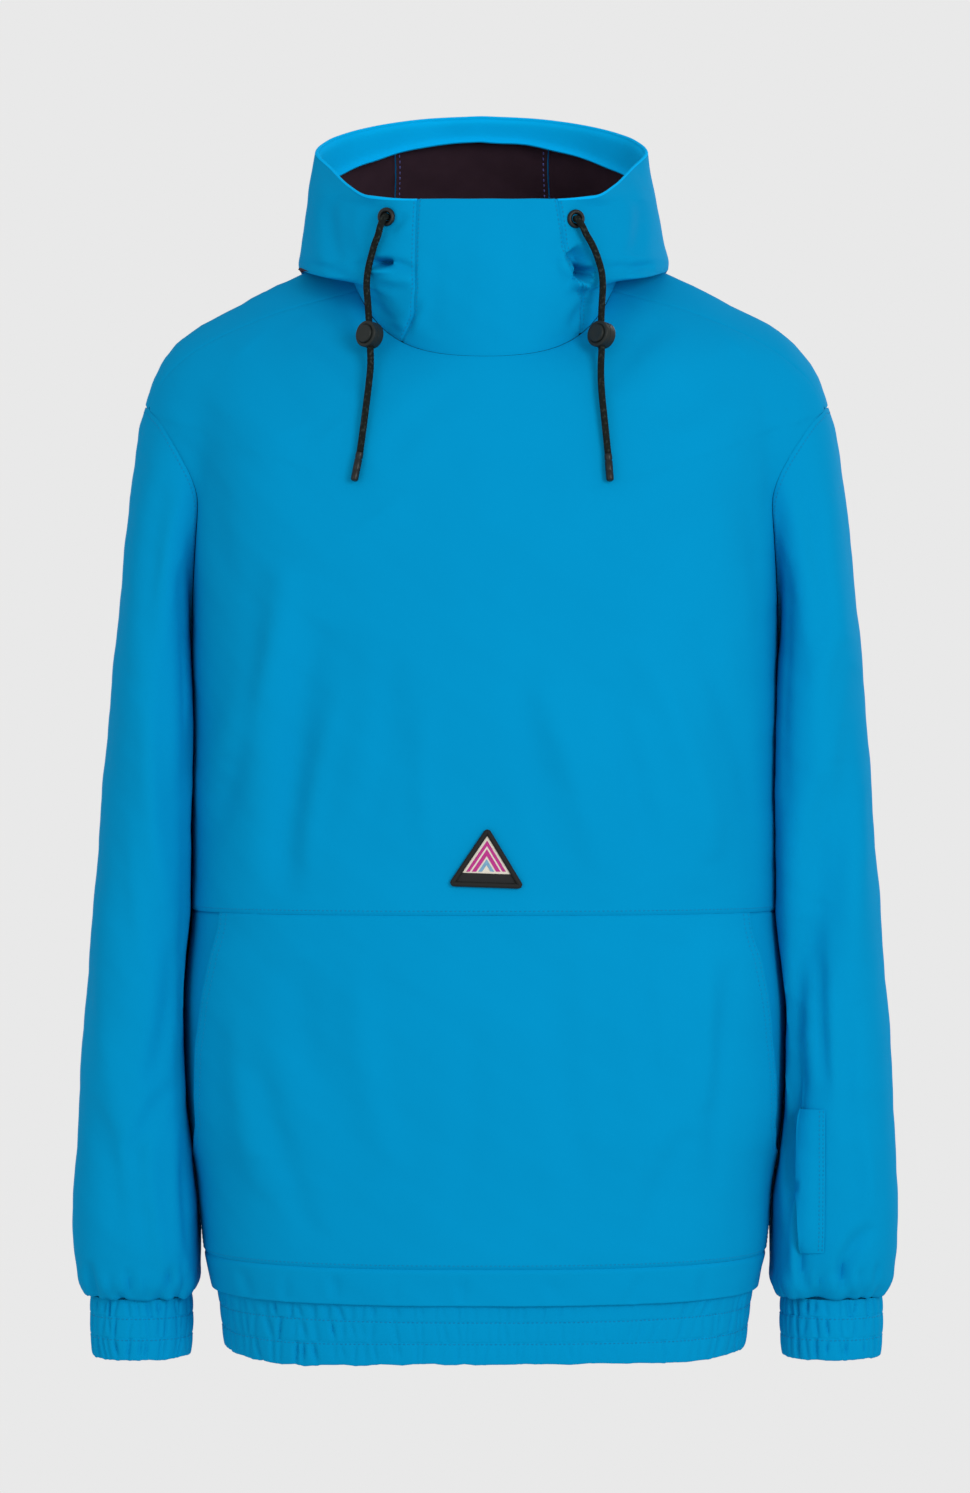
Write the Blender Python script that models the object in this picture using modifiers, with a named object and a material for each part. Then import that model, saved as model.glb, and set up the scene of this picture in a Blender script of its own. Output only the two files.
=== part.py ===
"""A hooded pullover softshell jacket, hollow as worn, built from the pieces that a maker cuts and sews.

Metres, +Z up. The wearer faces -Y and the wearer's left is +X. The origin is the middle of the
neck, where the wearer's shoulders carry the jacket. Each cloth piece is a wall: a grid of points
on one of three outer surfaces (body, sleeve, hood), and the same grid moved in by the cloth's
thickness along the surface's own normals. Pieces that meet at a seam share the seam's points.
"""

import math

import bpy
import numpy as np
from mathutils import Vector

# ---------------------------------------------------------------- driving sizes

CLOTH = 0.0016  # bonded softshell: woven face, membrane and fleece back
SEAM_GAP = 0.0003
LAYER_GAP = 0.0004  # between a piece and the panel that it lies on

NECK_LEVEL = 0.022
POCKET_SEAM_LEVEL = -0.4373
POCKET_MOUTH_END_LEVEL = -0.610
POCKET_MOUTH_ANGLES = (65.5, 87.0)  # degrees round to the mouth's top and bottom ends
POCKET_MOUTH_LIFT = 0.0018
STRIP_SEAM_LEVEL = -0.6745
HEM_SEAM_LEVEL = -0.6985
HEM_BOTTOM_LEVEL = -0.7400
SIDE_SEAM = 90.0  # degrees round from the front centre

CUFF_TOP = -0.7060
CUFF_BOTTOM = -0.7465
CUFF_OUTER_X = 0.2785
CUFF_INNER_X = 0.2045
CUFF_FRONT_Y = -0.0475
CUFF_BACK_Y = 0.0255
CUFF_GATHERS = 30
HEM_GATHERS = 116
GATHER_DEPTH = 0.0016
CHANNELS = 3  # rows of elastic in the hem and in each cuff

CORD_DIAMETER = 0.0045
LEFT, RIGHT = 1, -1  # the wearer's sides, as the sign of X

# ---------------------------------------------------------------- the body's tables

# Each ring is a squared oval with a bulge at each side for the shoulder and the armhole.
BODY_COLUMNS = ("level", "half_width", "cap_reach", "cap_crease", "front_depth", "front_drop",
                "back_depth", "back_drop", "squareness")
BODY_RINGS = (
    (0.022, 0.0940, 0.0600, 20, 0.0980, 0.082, 0.0820, 0.014, 2.00),
    (-0.012, 0.1655, 0.1450, 20, 0.1090, 0.082, 0.0990, 0.012, 2.15),
    (-0.026, 0.1850, 0.1880, 20, 0.1130, 0.081, 0.1060, 0.012, 2.25),
    (-0.040, 0.1940, 0.2120, 20, 0.1165, 0.080, 0.1120, 0.011, 2.35),
    (-0.068, 0.2035, 0.2340, 28, 0.1230, 0.075, 0.1210, 0.010, 2.50),
    (-0.096, 0.2040, 0.2425, 40, 0.1280, 0.066, 0.1270, 0.009, 2.55),
    (-0.125, 0.2040, 0.2380, 60, 0.1315, 0.056, 0.1310, 0.007, 2.60),
    (-0.175, 0.2040, 0.1850, 60, 0.1360, 0.038, 0.1350, 0.004, 2.60),
    (-0.260, 0.2040, 0.1000, 60, 0.1390, 0.012, 0.1375, 0.001, 2.60),
    (-0.345, 0.2040, 0.1000, 60, 0.1400, 0.000, 0.1380, 0.000, 2.60),
    (-0.438, 0.2045, 0.1000, 60, 0.1400, 0.000, 0.1370, 0.000, 2.60),
    (-0.505, 0.2105, 0.1000, 60, 0.1400, 0.000, 0.1360, 0.000, 2.55),
    (-0.545, 0.2100, 0.1000, 60, 0.1395, 0.000, 0.1350, 0.000, 2.50),
    (-0.593, 0.2060, 0.1000, 60, 0.1385, 0.000, 0.1340, 0.000, 2.50),
    (-0.628, 0.2005, 0.1000, 60, 0.1370, 0.000, 0.1325, 0.000, 2.50),
    (-0.676, 0.1957, 0.1000, 60, 0.1345, 0.000, 0.1300, 0.000, 2.50),
    (-0.701, 0.1890, 0.1000, 60, 0.1290, 0.000, 0.1250, 0.000, 2.50),
    (-0.745, 0.1835, 0.1000, 60, 0.1240, 0.000, 0.1200, 0.000, 2.50),
)
FRONT_FULLNESS = 0.5  # how much of the neckline's dip spreads round from the front centre
BACK_DROP_POWER = 1.3
CAP_FRONT_SPREAD = 38.8  # degrees that the shoulder cap's bulge covers on each side
CAP_BACK_SPREAD = 52.0

# Angles round from the front centre, in degrees, down the seams at the edges of front and back.
EDGE_COLUMNS = ("level", "front_angle", "back_angle")
SHOULDER_SEAM = (
    (0.022, 69.0, 69.0),
    (-0.004, 76.0, 76.0),
    (-0.028, 80.0, 80.0),
    (-0.056, 83.3, 83.3),
    (-0.084, 86.0, 86.0),
)
ARMHOLE_SEAM = (
    (-0.0840, 86.0, 86.0),
    (-0.0885, 82.0, 92.5),
    (-0.0980, 79.0, 99.0),
    (-0.1120, 76.8, 105.0),
    (-0.1300, 75.6, 109.3),
    (-0.1510, 76.0, 112.0),
    (-0.1740, 77.4, 112.3),
    (-0.1990, 79.6, 110.2),
    (-0.2230, 82.4, 106.0),
    (-0.2440, 85.7, 99.5),
    (-0.2600, 90.0, 90.0),
)

# Long soft folds, as lines on the surface. A depth below 0 is a ridge.
FOLD_COLUMNS = ("top_angle", "top_level", "bottom_angle", "bottom_level", "half_width", "depth")
BODY_FOLDS = (
    (-52.0, -0.060, -30.0, -0.115, 0.030, 0.0035),
    (50.0, -0.055, 33.0, -0.100, 0.028, 0.0030),
    (-47.0, -0.180, -63.0, -0.350, 0.024, -0.0030),
    (-38.0, -0.230, -50.0, -0.440, 0.024, 0.0030),
    (15.0, -0.270, 31.0, -0.430, 0.026, -0.0028),
    (36.0, -0.240, 55.0, -0.420, 0.024, -0.0032),
    (-24.0, -0.480, -40.0, -0.620, 0.028, 0.0026),
    (48.0, -0.460, 44.0, -0.600, 0.026, -0.0026),
    (205.0, -0.150, 232.0, -0.400, 0.030, 0.0036),
    (160.0, -0.180, 140.0, -0.380, 0.026, 0.0030),
    (176.0, -0.330, 186.0, -0.580, 0.034, 0.0028),
    (132.0, -0.420, 118.0, -0.610, 0.026, -0.0030),
)
BODY_RADIUS = 0.17  # turns an angle round the body into a distance along the cloth

# ---------------------------------------------------------------- the sleeves' tables

# The sections below the armhole. away is how far a section has left the armhole's shape.
SLEEVE_COLUMNS = ("outer_z", "inner_z", "outer_x", "inner_x", "front_y", "back_y", "away")
SLEEVE_SECTIONS = (
    (-0.1120, -0.2650, 0.2450, 0.2050, -0.064, 0.086, 0.14),
    (-0.1620, -0.2800, 0.2520, 0.2020, -0.070, 0.092, 0.48),
    (-0.2250, -0.3040, 0.2580, 0.1980, -0.074, 0.096, 0.86),
    (-0.2900, -0.3420, 0.2640, 0.1960, -0.076, 0.096, 1.0),
    (-0.3600, -0.3900, 0.2698, 0.1960, -0.076, 0.092, 1.0),
    (-0.4300, -0.4440, 0.2750, 0.1965, -0.076, 0.085, 1.0),
    (-0.4950, -0.4990, 0.2800, 0.1990, -0.076, 0.076, 1.0),
    (-0.5500, -0.5500, 0.2838, 0.2010, -0.076, 0.067, 1.0),
    (-0.5980, -0.5980, 0.2856, 0.2020, -0.074, 0.058, 1.0),
    (-0.6400, -0.6400, 0.2878, 0.1990, -0.070, 0.049, 1.0),
    (-0.6720, -0.6720, 0.2880, 0.1985, -0.064, 0.041, 1.0),
    (-0.6930, -0.6930, 0.2862, 0.1988, -0.056, 0.033, 1.0),
    (-0.7060, -0.7060, 0.2795, 0.2035, -0.048, 0.026, 1.0),
)
SLEEVE_SQUARENESS = 2.3
SLEEVE_CLEARANCE = 0.0020  # where a sleeve lies against the body

# Angles run from the sleeve's outer side, 0, through its front, 90, to its inner side.
LEFT_SLEEVE_FOLDS = (
    (40.0, -0.270, 118.0, -0.500, 0.019, 0.0060),
    (120.0, -0.440, 146.0, -0.690, 0.020, 0.0070),
    (66.0, -0.560, 92.0, -0.690, 0.018, 0.0030),
    (262.0, -0.290, 240.0, -0.480, 0.026, 0.0050),
    (300.0, -0.470, 262.0, -0.640, 0.022, 0.0040),
)
RIGHT_SLEEVE_FOLDS = (
    (128.0, -0.300, 138.0, -0.590, 0.020, 0.0050),
    (44.0, -0.560, 82.0, -0.690, 0.020, 0.0030),
    (250.0, -0.270, 268.0, -0.500, 0.026, 0.0052),
    (290.0, -0.520, 252.0, -0.660, 0.022, 0.0036),
)
SLEEVE_RADIUS = 0.055

# The welt over the left forearm's small pocket. Its inner edge is the pocket's mouth.
WELT_TOP, WELT_BOTTOM = -0.5725, -0.6715
WELT_INNER_X, WELT_OUTER_X = 0.2175, 0.2325
WELT_THICKNESS = 0.0014
WELT_ROWS = 11
WELT_LIFT = (0.0011, 0.0008, 0.0005, 0.0002, 0.0)  # from the mouth to the sewn edge

# ---------------------------------------------------------------- the hood's tables

# The rim, from the front centre round one side to the back centre.
RIM_COLUMNS = ("angle", "x", "y", "z")
HOOD_RIM = (
    (0.0, 0.0000, -0.0960, 0.0474),
    (22.0, 0.0330, -0.0958, 0.0474),
    (34.5, 0.0520, -0.0945, 0.0472),
    (48.0, 0.0745, -0.0850, 0.0490),
    (62.0, 0.0905, -0.0610, 0.0605),
    (76.0, 0.1040, -0.0300, 0.0770),
    (90.0, 0.1165, 0.0020, 0.0930),
    (108.0, 0.1100, 0.0300, 0.1050),
    (126.0, 0.0965, 0.0530, 0.1140),
    (146.0, 0.0690, 0.0780, 0.1238),
    (164.0, 0.0350, 0.0950, 0.1302),
    (180.0, 0.0000, 0.1000, 0.1325),
)
RIM_SHIFT = -0.0024  # the hood sits a little to the wearer's right

# The hood's slack below the rim: it falls outside the neck seam, folds and turns back up to it.
SLACK_COLUMNS = ("drop", "half_width", "side_z", "front_depth", "front_z", "back_depth", "back_z")
HOOD_SLACK = (
    (0.10, 0.1205, 0.0680, 0.0985, 0.0340, 0.1180, 0.1080),
    (0.23, 0.1235, 0.0480, 0.1010, 0.0220, 0.1450, 0.0760),
    (0.37, 0.1268, 0.0270, 0.1040, 0.0090, 0.1660, 0.0200),
    (0.50, 0.1294, 0.0140, 0.1065, -0.0030, 0.1760, -0.0560),
    (0.60, 0.1288, 0.0092, 0.1060, -0.0150, 0.1745, -0.1160),
    (0.68, 0.1235, 0.0098, 0.1030, -0.0185, 0.1660, -0.1420),
    (0.76, 0.1160, 0.0165, 0.0985, -0.0130, 0.1550, -0.1160),
    (0.88, 0.1050, 0.0260, 0.0960, -0.0350, 0.1290, -0.0240),
)
SLACK_STARTS, SLACK_FULL = 33.0, 60.0  # degrees round from the front centre
SLACK_FRONT_POWER = 1.2
SLACK_BACK_POWER = 2.4
COLLAR_SEAM_RIGHT = (29.0, 36.5)  # degrees round at the rim and at the neck, on the wearer's right
COLLAR_SEAM_LEFT = (34.3, 42.0)
CROWN_SEAM_LEFT, CROWN_SEAM_RIGHT = 156.0, 148.0
HOOD_DROPS = (0.0, 0.04, 0.08, 0.19, 0.32, 0.42, 0.51, 0.58, 0.64, 0.71, 0.79, 0.89, 1.0)
FACING_ROWS = 3  # rows of the hood that its turned-in hem covers

# The neck seam's stretches between the seams that reach it: first angle, last angle, columns.
NECK_SHOULDER = SHOULDER_SEAM[0][1]
FRONT_NECK = ((-NECK_SHOULDER, -COLLAR_SEAM_RIGHT[1], 6), (-COLLAR_SEAM_RIGHT[1], COLLAR_SEAM_LEFT[1], 8),
              (COLLAR_SEAM_LEFT[1], NECK_SHOULDER, 6))
BACK_NECK = ((NECK_SHOULDER, CROWN_SEAM_LEFT, 7), (CROWN_SEAM_LEFT, 360 - CROWN_SEAM_RIGHT, 4),
             (360 - CROWN_SEAM_RIGHT, 360 - NECK_SHOULDER, 7))
ROUND_TO_COLLAR = (360 - NECK_SHOULDER, 360 - COLLAR_SEAM_RIGHT[1], 6)

# ---------------------------------------------------------------- cords and badge

EYELET_RADIUS = 0.0049
EYELET_WIRE = 0.0015
TIP_DIAMETER = 0.0052
LOCK_DIAMETER, LOCK_LENGTH = 0.0180, 0.0095
BUTTON_DIAMETER, BUTTON_PROUD = 0.0125, 0.0014
LOCK_FACES = (-0.656, -0.755, 0.0)  # both locks have turned the same way
CORD_STEP = 0.0100  # between the points of a cord's tube

# Each cord's centre line as x, y, z, from inside its eyelet to its tip. One point is its lock's centre.
RIGHT_CORD = (
    (-0.0663, -0.0896, 0.0352),
    (-0.0679, -0.0931, 0.0349),
    (-0.0693, -0.0950, 0.0325),
    (-0.0708, -0.0950, 0.0287),
    (-0.0724, -0.0933, 0.0229),
    (-0.0750, -0.0900, 0.0165),
    (-0.0768, -0.0874, 0.0106),
    (-0.0794, -0.0853, 0.0005),
    (-0.0805, -0.0858, -0.0104),
    (-0.0796, -0.0872, -0.0230),
    (-0.0788, -0.0892, -0.0353),
    (-0.0783, -0.0912, -0.0450),
    (-0.0778, -0.0932, -0.0547),
    (-0.0775, -0.0970, -0.0653),
    (-0.0785, -0.1037, -0.0792),
    (-0.0804, -0.1110, -0.0968),
    (-0.0822, -0.1152, -0.1120),
    (-0.0841, -0.1184, -0.1265),
)
LEFT_CORD = (
    (0.0610, -0.0894, 0.0339),
    (0.0625, -0.0927, 0.0336),
    (0.0642, -0.0946, 0.0312),
    (0.0662, -0.0947, 0.0280),
    (0.0684, -0.0930, 0.0236),
    (0.0730, -0.0897, 0.0161),
    (0.0772, -0.0862, 0.0061),
    (0.0794, -0.0852, -0.0019),
    (0.0801, -0.0858, -0.0114),
    (0.0795, -0.0873, -0.0230),
    (0.0789, -0.0893, -0.0353),
    (0.0790, -0.0914, -0.0450),
    (0.0791, -0.0935, -0.0547),
    (0.0786, -0.0974, -0.0640),
    (0.0784, -0.1008, -0.0724),
    (0.0789, -0.1073, -0.0865),
    (0.0802, -0.1122, -0.1011),
    (0.0815, -0.1160, -0.1148),
    (0.0827, -0.1190, -0.1277),
)
LOCK_POINT = 11  # which point of a route is the middle of its lock
RIGHT_TIP_END = (-0.0879, -0.1222, -0.1460)
LEFT_TIP_END = (0.0840, -0.1238, -0.1461)

# The badge's corners as seen from the front, as x and z: apex, wearer's right, wearer's left.
BADGE_CORNERS = ((0.0017, -0.3776), (-0.0253, -0.4176), (0.0268, -0.4194))
BADGE_BORDER = 0.0017  # half the width of the stitched border
BADGE_CORNER_RADIUS = 0.0018
BADGE_THICKNESS = 0.0012
BADGE_ROWS = (0.03, 0.22, 0.42, 0.62, 0.81, 1.0)  # shares of the way down from the apex

# ---------------------------------------------------------------- small tools


def columns(names, rows):
    """A table as one array for each named column."""
    return dict(zip(names, np.array(rows, float).T))


def smooth(keys, values, at):
    """A smooth curve through the values that never overshoots them, read at each place."""
    keys, values = np.asarray(keys, float), np.asarray(values, float)
    if keys[0] > keys[-1]:
        keys, values = keys[::-1], values[::-1]
    steps = np.diff(keys)
    slopes = np.diff(values, axis=0) / steps.reshape(-1, *[1] * (values.ndim - 1))
    same_way = slopes[:-1] * slopes[1:] > 0
    total = np.where(same_way, slopes[:-1] + slopes[1:], 1)
    middle = np.where(same_way, 2 * slopes[:-1] * slopes[1:] / total, 0)
    tangents = np.concatenate([slopes[:1], middle, slopes[-1:]])
    at = np.clip(np.asarray(at, float), keys[0], keys[-1])
    i = np.clip(np.searchsorted(keys, at, side="right") - 1, 0, len(steps) - 1)
    h = steps[i]
    t = (at - keys[i]) / h
    if values.ndim > 1:  # one column of values for each place, as on the hood
        start, end = values[i, np.arange(len(i))], values[i + 1, np.arange(len(i))]
        leave, arrive = tangents[i, np.arange(len(i))], tangents[i + 1, np.arange(len(i))]
    else:
        start, end, leave, arrive = values[i], values[i + 1], tangents[i], tangents[i + 1]
    first = start * (1 + 2 * t) * (1 - t) ** 2 + leave * h * t * (1 - t) ** 2
    return first + end * t**2 * (3 - 2 * t) - arrive * h * t**2 * (1 - t)


def ramp(low, high, at):
    """0 below low, 1 above high, and smooth between."""
    t = np.clip((at - low) / (high - low), 0, 1)
    return t * t * (3 - 2 * t)


def unit(vectors):
    return vectors / np.linalg.norm(vectors, axis=-1, keepdims=True)


def normals_of(surface, angle, place, outward=1):
    """Unit normals of a surface(angle, place), from small steps along it both ways."""
    turn, step = 0.25, 0.0005
    round_it = surface(angle + turn, place) - surface(angle - turn, place)
    along_it = surface(angle, place + step) - surface(angle, place - step)
    return unit(np.cross(round_it, along_it)) * outward


def pressed(folds, angle, level, radius):
    """How far the folds press the surface in at each point."""
    depth = np.zeros(np.shape(level))
    for row in folds:
        fold = dict(zip(FOLD_COLUMNS, row))
        across = np.radians((angle - fold["top_angle"] + 180) % 360 - 180) * radius
        down = fold["top_level"] - level
        end_across = math.radians(fold["bottom_angle"] - fold["top_angle"]) * radius
        end_down = fold["top_level"] - fold["bottom_level"]
        length = math.hypot(end_across, end_down)
        along = np.clip((across * end_across + down * end_down) / length**2, 0, 1)
        away = np.hypot(across - along * end_across, down - along * end_down)
        profile = np.exp(-((away / fold["half_width"]) ** 2)) * (4 * along * (1 - along)) ** 0.7
        depth = depth + fold["depth"] * profile
    return depth


# ---------------------------------------------------------------- the three outer surfaces

BODY = columns(BODY_COLUMNS, BODY_RINGS)
RIM = columns(RIM_COLUMNS, HOOD_RIM)
SLACK = columns(SLACK_COLUMNS, HOOD_SLACK)


def body_point(angle, level):
    """The body's outer surface. level is the height at the side, and front and back dip from it."""
    ring = {name: smooth(BODY["level"], BODY[name], level) for name in BODY_COLUMNS[1:]}
    sine, cosine = np.sin(np.radians(angle)), np.cos(np.radians(angle))
    in_front = cosine > 0
    depth = np.where(in_front, ring["front_depth"], ring["back_depth"])
    n = ring["squareness"]
    chest = ((np.abs(sine) / ring["half_width"]) ** n + (np.abs(cosine) / depth) ** n) ** (-1 / n)
    from_side = (np.abs((np.asarray(angle) + 180) % 360 - 180) - 90) / np.where(
        in_front, CAP_FRONT_SPREAD, CAP_BACK_SPREAD)
    cap = ring["cap_reach"] * np.exp(-(from_side**2))
    crease = ring["cap_crease"]
    reach = chest * (1 + (cap / chest) ** crease) ** (1 / crease)
    reach = reach - pressed(BODY_FOLDS, angle, level, BODY_RADIUS)
    forward = np.abs(cosine)
    dip = np.where(in_front,
                   ring["front_drop"] * forward * (1 + FRONT_FULLNESS * forward**2 * (1 - forward)),
                   ring["back_drop"] * forward**BACK_DROP_POWER)
    return np.stack([reach * sine, -reach * cosine, level - dip], axis=-1)


def body_side(y, level):
    """How far out the body's plain side is at a depth y, without the shoulder's bulge."""
    ring = {name: smooth(BODY["level"], BODY[name], level) for name in BODY_COLUMNS[1:]}
    depth = np.where(y < 0, ring["front_depth"], ring["back_depth"])
    share = np.clip(np.abs(y) / depth, 0, 1) ** ring["squareness"]
    return ring["half_width"] * (1 - share) ** (1 / ring["squareness"])


def rim_point(angle):
    turned = (np.asarray(angle, float) + 180) % 360 - 180
    x, y, z = (smooth(RIM["angle"], RIM[name], np.abs(turned)) for name in "xyz")
    return np.stack([np.sign(turned) * x + RIM_SHIFT, y, z], axis=-1)


def hood_point(angle, drop):
    """The hood's outer surface. drop runs from 0 at the rim to 1 at the neck seam."""
    angle, drop = np.broadcast_arrays(np.asarray(angle, float), np.asarray(drop, float))
    shape = angle.shape
    angle, drop = angle.ravel(), drop.ravel()
    rim, seam = rim_point(angle), body_point(angle, np.full(angle.shape, NECK_LEVEL))
    share = drop[:, None]
    bow = 0.005 * np.sin(math.pi * share) * unit(seam * [1, 1, 0])
    collar = rim + (seam - rim) * share + bow
    sine, cosine = np.sin(np.radians(angle)), np.cos(np.radians(angle))
    in_front = cosine > 0
    front_dip = np.abs(cosine) ** SLACK_FRONT_POWER
    back_dip = np.abs(cosine) ** SLACK_BACK_POWER
    rings = [rim]
    for row in HOOD_SLACK:
        ring = dict(zip(SLACK_COLUMNS, row))
        depth = np.where(in_front, ring["front_depth"], ring["back_depth"])
        height = ring["side_z"] + np.where(in_front, (ring["front_z"] - ring["side_z"]) * front_dip,
                                           (ring["back_z"] - ring["side_z"]) * back_dip)
        shift = RIM_SHIFT * (1 - ring["drop"])
        rings.append(np.stack([ring["half_width"] * sine + shift, -depth * cosine, height], axis=-1))
    rings.append(seam)
    rings = np.stack(rings)
    keys = np.concatenate([[0], SLACK["drop"], [1]])
    slack = np.stack([smooth(keys, rings[..., axis], drop) for axis in range(3)], axis=-1)
    around = np.abs((angle + 180) % 360 - 180)
    k = ramp(SLACK_STARTS, SLACK_FULL, around)[:, None]
    return (collar * (1 - k) + slack * k).reshape(*shape, 3)


def armhole():
    """The armhole's points and normals on the wearer's left, from the shoulder down the front to
    the underarm and back up behind."""
    seam = columns(EDGE_COLUMNS, ARMHOLE_SEAM)
    angle = np.concatenate([seam["front_angle"], seam["back_angle"][-2:0:-1]])
    level = np.concatenate([seam["level"], seam["level"][-2:0:-1]])
    return body_point(angle, level), normals_of(body_point, angle, level)


def clear_of_body(rings):
    """The sleeve's rings, moved out to lie against the body where they would be inside it."""
    side = body_side(rings[..., 1], rings[..., 2]) + SLEEVE_CLEARANCE
    moved = rings.copy()
    moved[1:, :, 0] = np.maximum(rings[..., 0], side)[1:]
    return moved


def sleeve_rings(side):
    """The sleeve's rings of points and their outward normals, from the armhole to the cuff seam."""
    start, body_normals = armhole()
    turn = np.arange(len(start)) * 360.0 / len(start)
    sine, cosine = np.sin(np.radians(turn)), np.cos(np.radians(turn))
    to_outer = (1 + cosine) / 2
    shoulder, underarm = start[0], start[len(start) // 2]
    power = 2 / SLEEVE_SQUARENESS
    across, deep = np.sign(cosine) * np.abs(cosine) ** power, np.sign(sine) * np.abs(sine) ** power
    rings = [start]
    for row in SLEEVE_SECTIONS:
        cut = dict(zip(SLEEVE_COLUMNS, row))
        section = np.stack([
            (cut["outer_x"] + cut["inner_x"]) / 2 + (cut["outer_x"] - cut["inner_x"]) / 2 * across,
            (cut["front_y"] + cut["back_y"]) / 2 + (cut["front_y"] - cut["back_y"]) / 2 * deep,
            cut["inner_z"] + (cut["outer_z"] - cut["inner_z"]) * to_outer], axis=-1)
        outer = np.array([cut["outer_x"], 0, cut["outer_z"]]) - shoulder * [1, 0, 1]
        inner = np.array([cut["inner_x"], 0, cut["inner_z"]]) - underarm * [1, 0, 1]
        moved = start + inner + (outer - inner) * to_outer[:, None]
        rings.append(moved + (section - moved) * cut["away"])
    rings = clear_of_body(np.stack(rings))
    along, around = np.gradient(rings, axis=0), np.roll(rings, -1, 1) - np.roll(rings, 1, 1)
    normals = unit(np.cross(around, along))
    folds = LEFT_SLEEVE_FOLDS if side == LEFT else RIGHT_SLEEVE_FOLDS
    depth = pressed(folds, np.broadcast_to(turn, rings.shape[:2]), rings[..., 2], SLEEVE_RADIUS)
    rings = clear_of_body(rings - normals * depth[..., None])
    agree = (normals[0] * body_normals).sum(-1) > 0
    normals[0][agree] = unit(normals[0] + body_normals)[agree]
    return rings * [side, 1, 1], normals * [side, 1, 1]


# ---------------------------------------------------------------- making the objects


def material(name, colour, roughness, metallic=0.0):
    made = bpy.data.materials.new(name)
    made.use_nodes = True
    shader = made.node_tree.nodes["Principled BSDF"]
    shader.inputs["Base Color"].default_value = (*colour, 1)
    shader.inputs["Roughness"].default_value = roughness
    shader.inputs["Metallic"].default_value = metallic
    return made


def add(name, mesh):
    made = bpy.data.objects.new(name, mesh)
    JACKET.objects.link(made)
    return made


def move_to(collection, made):
    for holder in list(made.users_collection):
        holder.objects.unlink(made)
    collection.objects.link(made)


def trimmed(points, closed):
    """The grid with its edges drawn back by half a seam gap, towards the points next to them."""
    cut = points.copy()
    for edge, inside in ((0, 1), (-1, -2)):
        cut[edge] += unit(points[inside] - points[edge]) * SEAM_GAP / 2
        if not closed:
            cut[:, edge] += unit(points[:, inside] - points[:, edge]) * SEAM_GAP / 2
    return cut


def wall(name, outer, inner, face, back, closed=False):
    """One closed solid between two grids of points, rows downwards and columns to the right as
    seen from outside. A closed one is a tube. The inner grid can have fewer rows."""
    count = outer.shape[1]
    across = count if closed else count - 1
    first_inner = outer.shape[0] * count

    def at(start, row, column):
        return start + row * count + column % count

    faces, inside = [], []
    for start, rows in ((0, len(outer)), (first_inner, len(inner))):
        for row in range(rows - 1):
            for column in range(across):
                corners = ((row, column), (row + 1, column), (row + 1, column + 1), (row, column + 1))
                if start:  # turned round, and split along the same diagonal as the outer face
                    corners = (corners[0], corners[3], corners[2], corners[1])
                faces.append([at(start, *corner) for corner in corners])
                inside.append(int(start > 0))
    bottom, inner_bottom = len(outer) - 1, len(inner) - 1
    for column in range(across):
        faces.append([at(0, 0, column + 1), at(first_inner, 0, column + 1),
                      at(first_inner, 0, column), at(0, 0, column)])
        faces.append([at(0, bottom, column), at(first_inner, inner_bottom, column),
                      at(first_inner, inner_bottom, column + 1), at(0, bottom, column + 1)])
    for row in range(0 if closed else bottom):
        end = count - 1
        faces.append([at(0, row, 0), at(first_inner, row, 0), at(first_inner, row + 1, 0),
                      at(0, row + 1, 0)])
        faces.append([at(0, row + 1, end), at(first_inner, row + 1, end), at(first_inner, row, end),
                      at(0, row, end)])
    mesh = bpy.data.meshes.new(name)
    mesh.from_pydata(np.concatenate([outer.reshape(-1, 3), inner.reshape(-1, 3)]).tolist(), [], faces)
    mesh.materials.append(face)
    mesh.materials.append(back)
    mesh.polygons.foreach_set("material_index", inside + [0] * (len(faces) - len(inside)))
    mesh.shade_smooth()
    mesh.set_sharp_from_angle(angle=math.radians(50))
    return add(name, mesh)


def cloth(name, points, normals, closed=False, thickness=CLOTH, sunk=0.0, back=None):
    """A cloth piece whose outer face is the grid, sunk in or (below 0) raised off it."""
    sunk = np.broadcast_to(sunk, points.shape[:2])[..., None]
    outer = trimmed(points, closed) - normals * sunk
    return wall(name, outer, outer - normals * thickness, SHELL_CLOTH, back or FLEECE_BACK, closed)


def even_angles(surface, place, first, last, count):
    """Angles from first to last that space the columns evenly along the cloth."""
    fine = np.linspace(first, last, 181)
    points = surface(fine, np.full(fine.shape, place))
    run = np.concatenate([[0], np.cumsum(np.linalg.norm(np.diff(points, axis=0), axis=1))])
    return np.interp(np.linspace(0, run[-1], count + 1), run, fine)


def lay_out(surface, places, edges, count):
    """A grid on a surface: a row at each place, between that row's two edge angles."""
    angle = np.array([even_angles(surface, place, first, last, count)
                      for place, (first, last) in zip(places, edges)])
    return angle, np.broadcast_to(np.array(places)[:, None], angle.shape)


def neck_shares(stretches):
    """How far along a piece's neck edge each column meets it, from its stretches between seams."""
    first, last = stretches[0][0], stretches[-1][1]
    angles = [first]
    for start, end, count in stretches:
        angles.extend(np.linspace(start, end, count + 1)[1:])
    return (np.array(angles) - first) / (last - first)


def meet_neck(angle, stretches):
    """The grid's angles with its top row on the neck seam's own points and the next one half way."""
    met = angle.copy()
    for row, weight in ((0, 1.0), (1, 0.5)):
        first, last = angle[row, 0], angle[row, -1]
        wanted = first + (last - first) * neck_shares(stretches)
        met[row] = wanted * weight + angle[row] * (1 - weight)
    return met


# ---------------------------------------------------------------- body pieces

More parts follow.
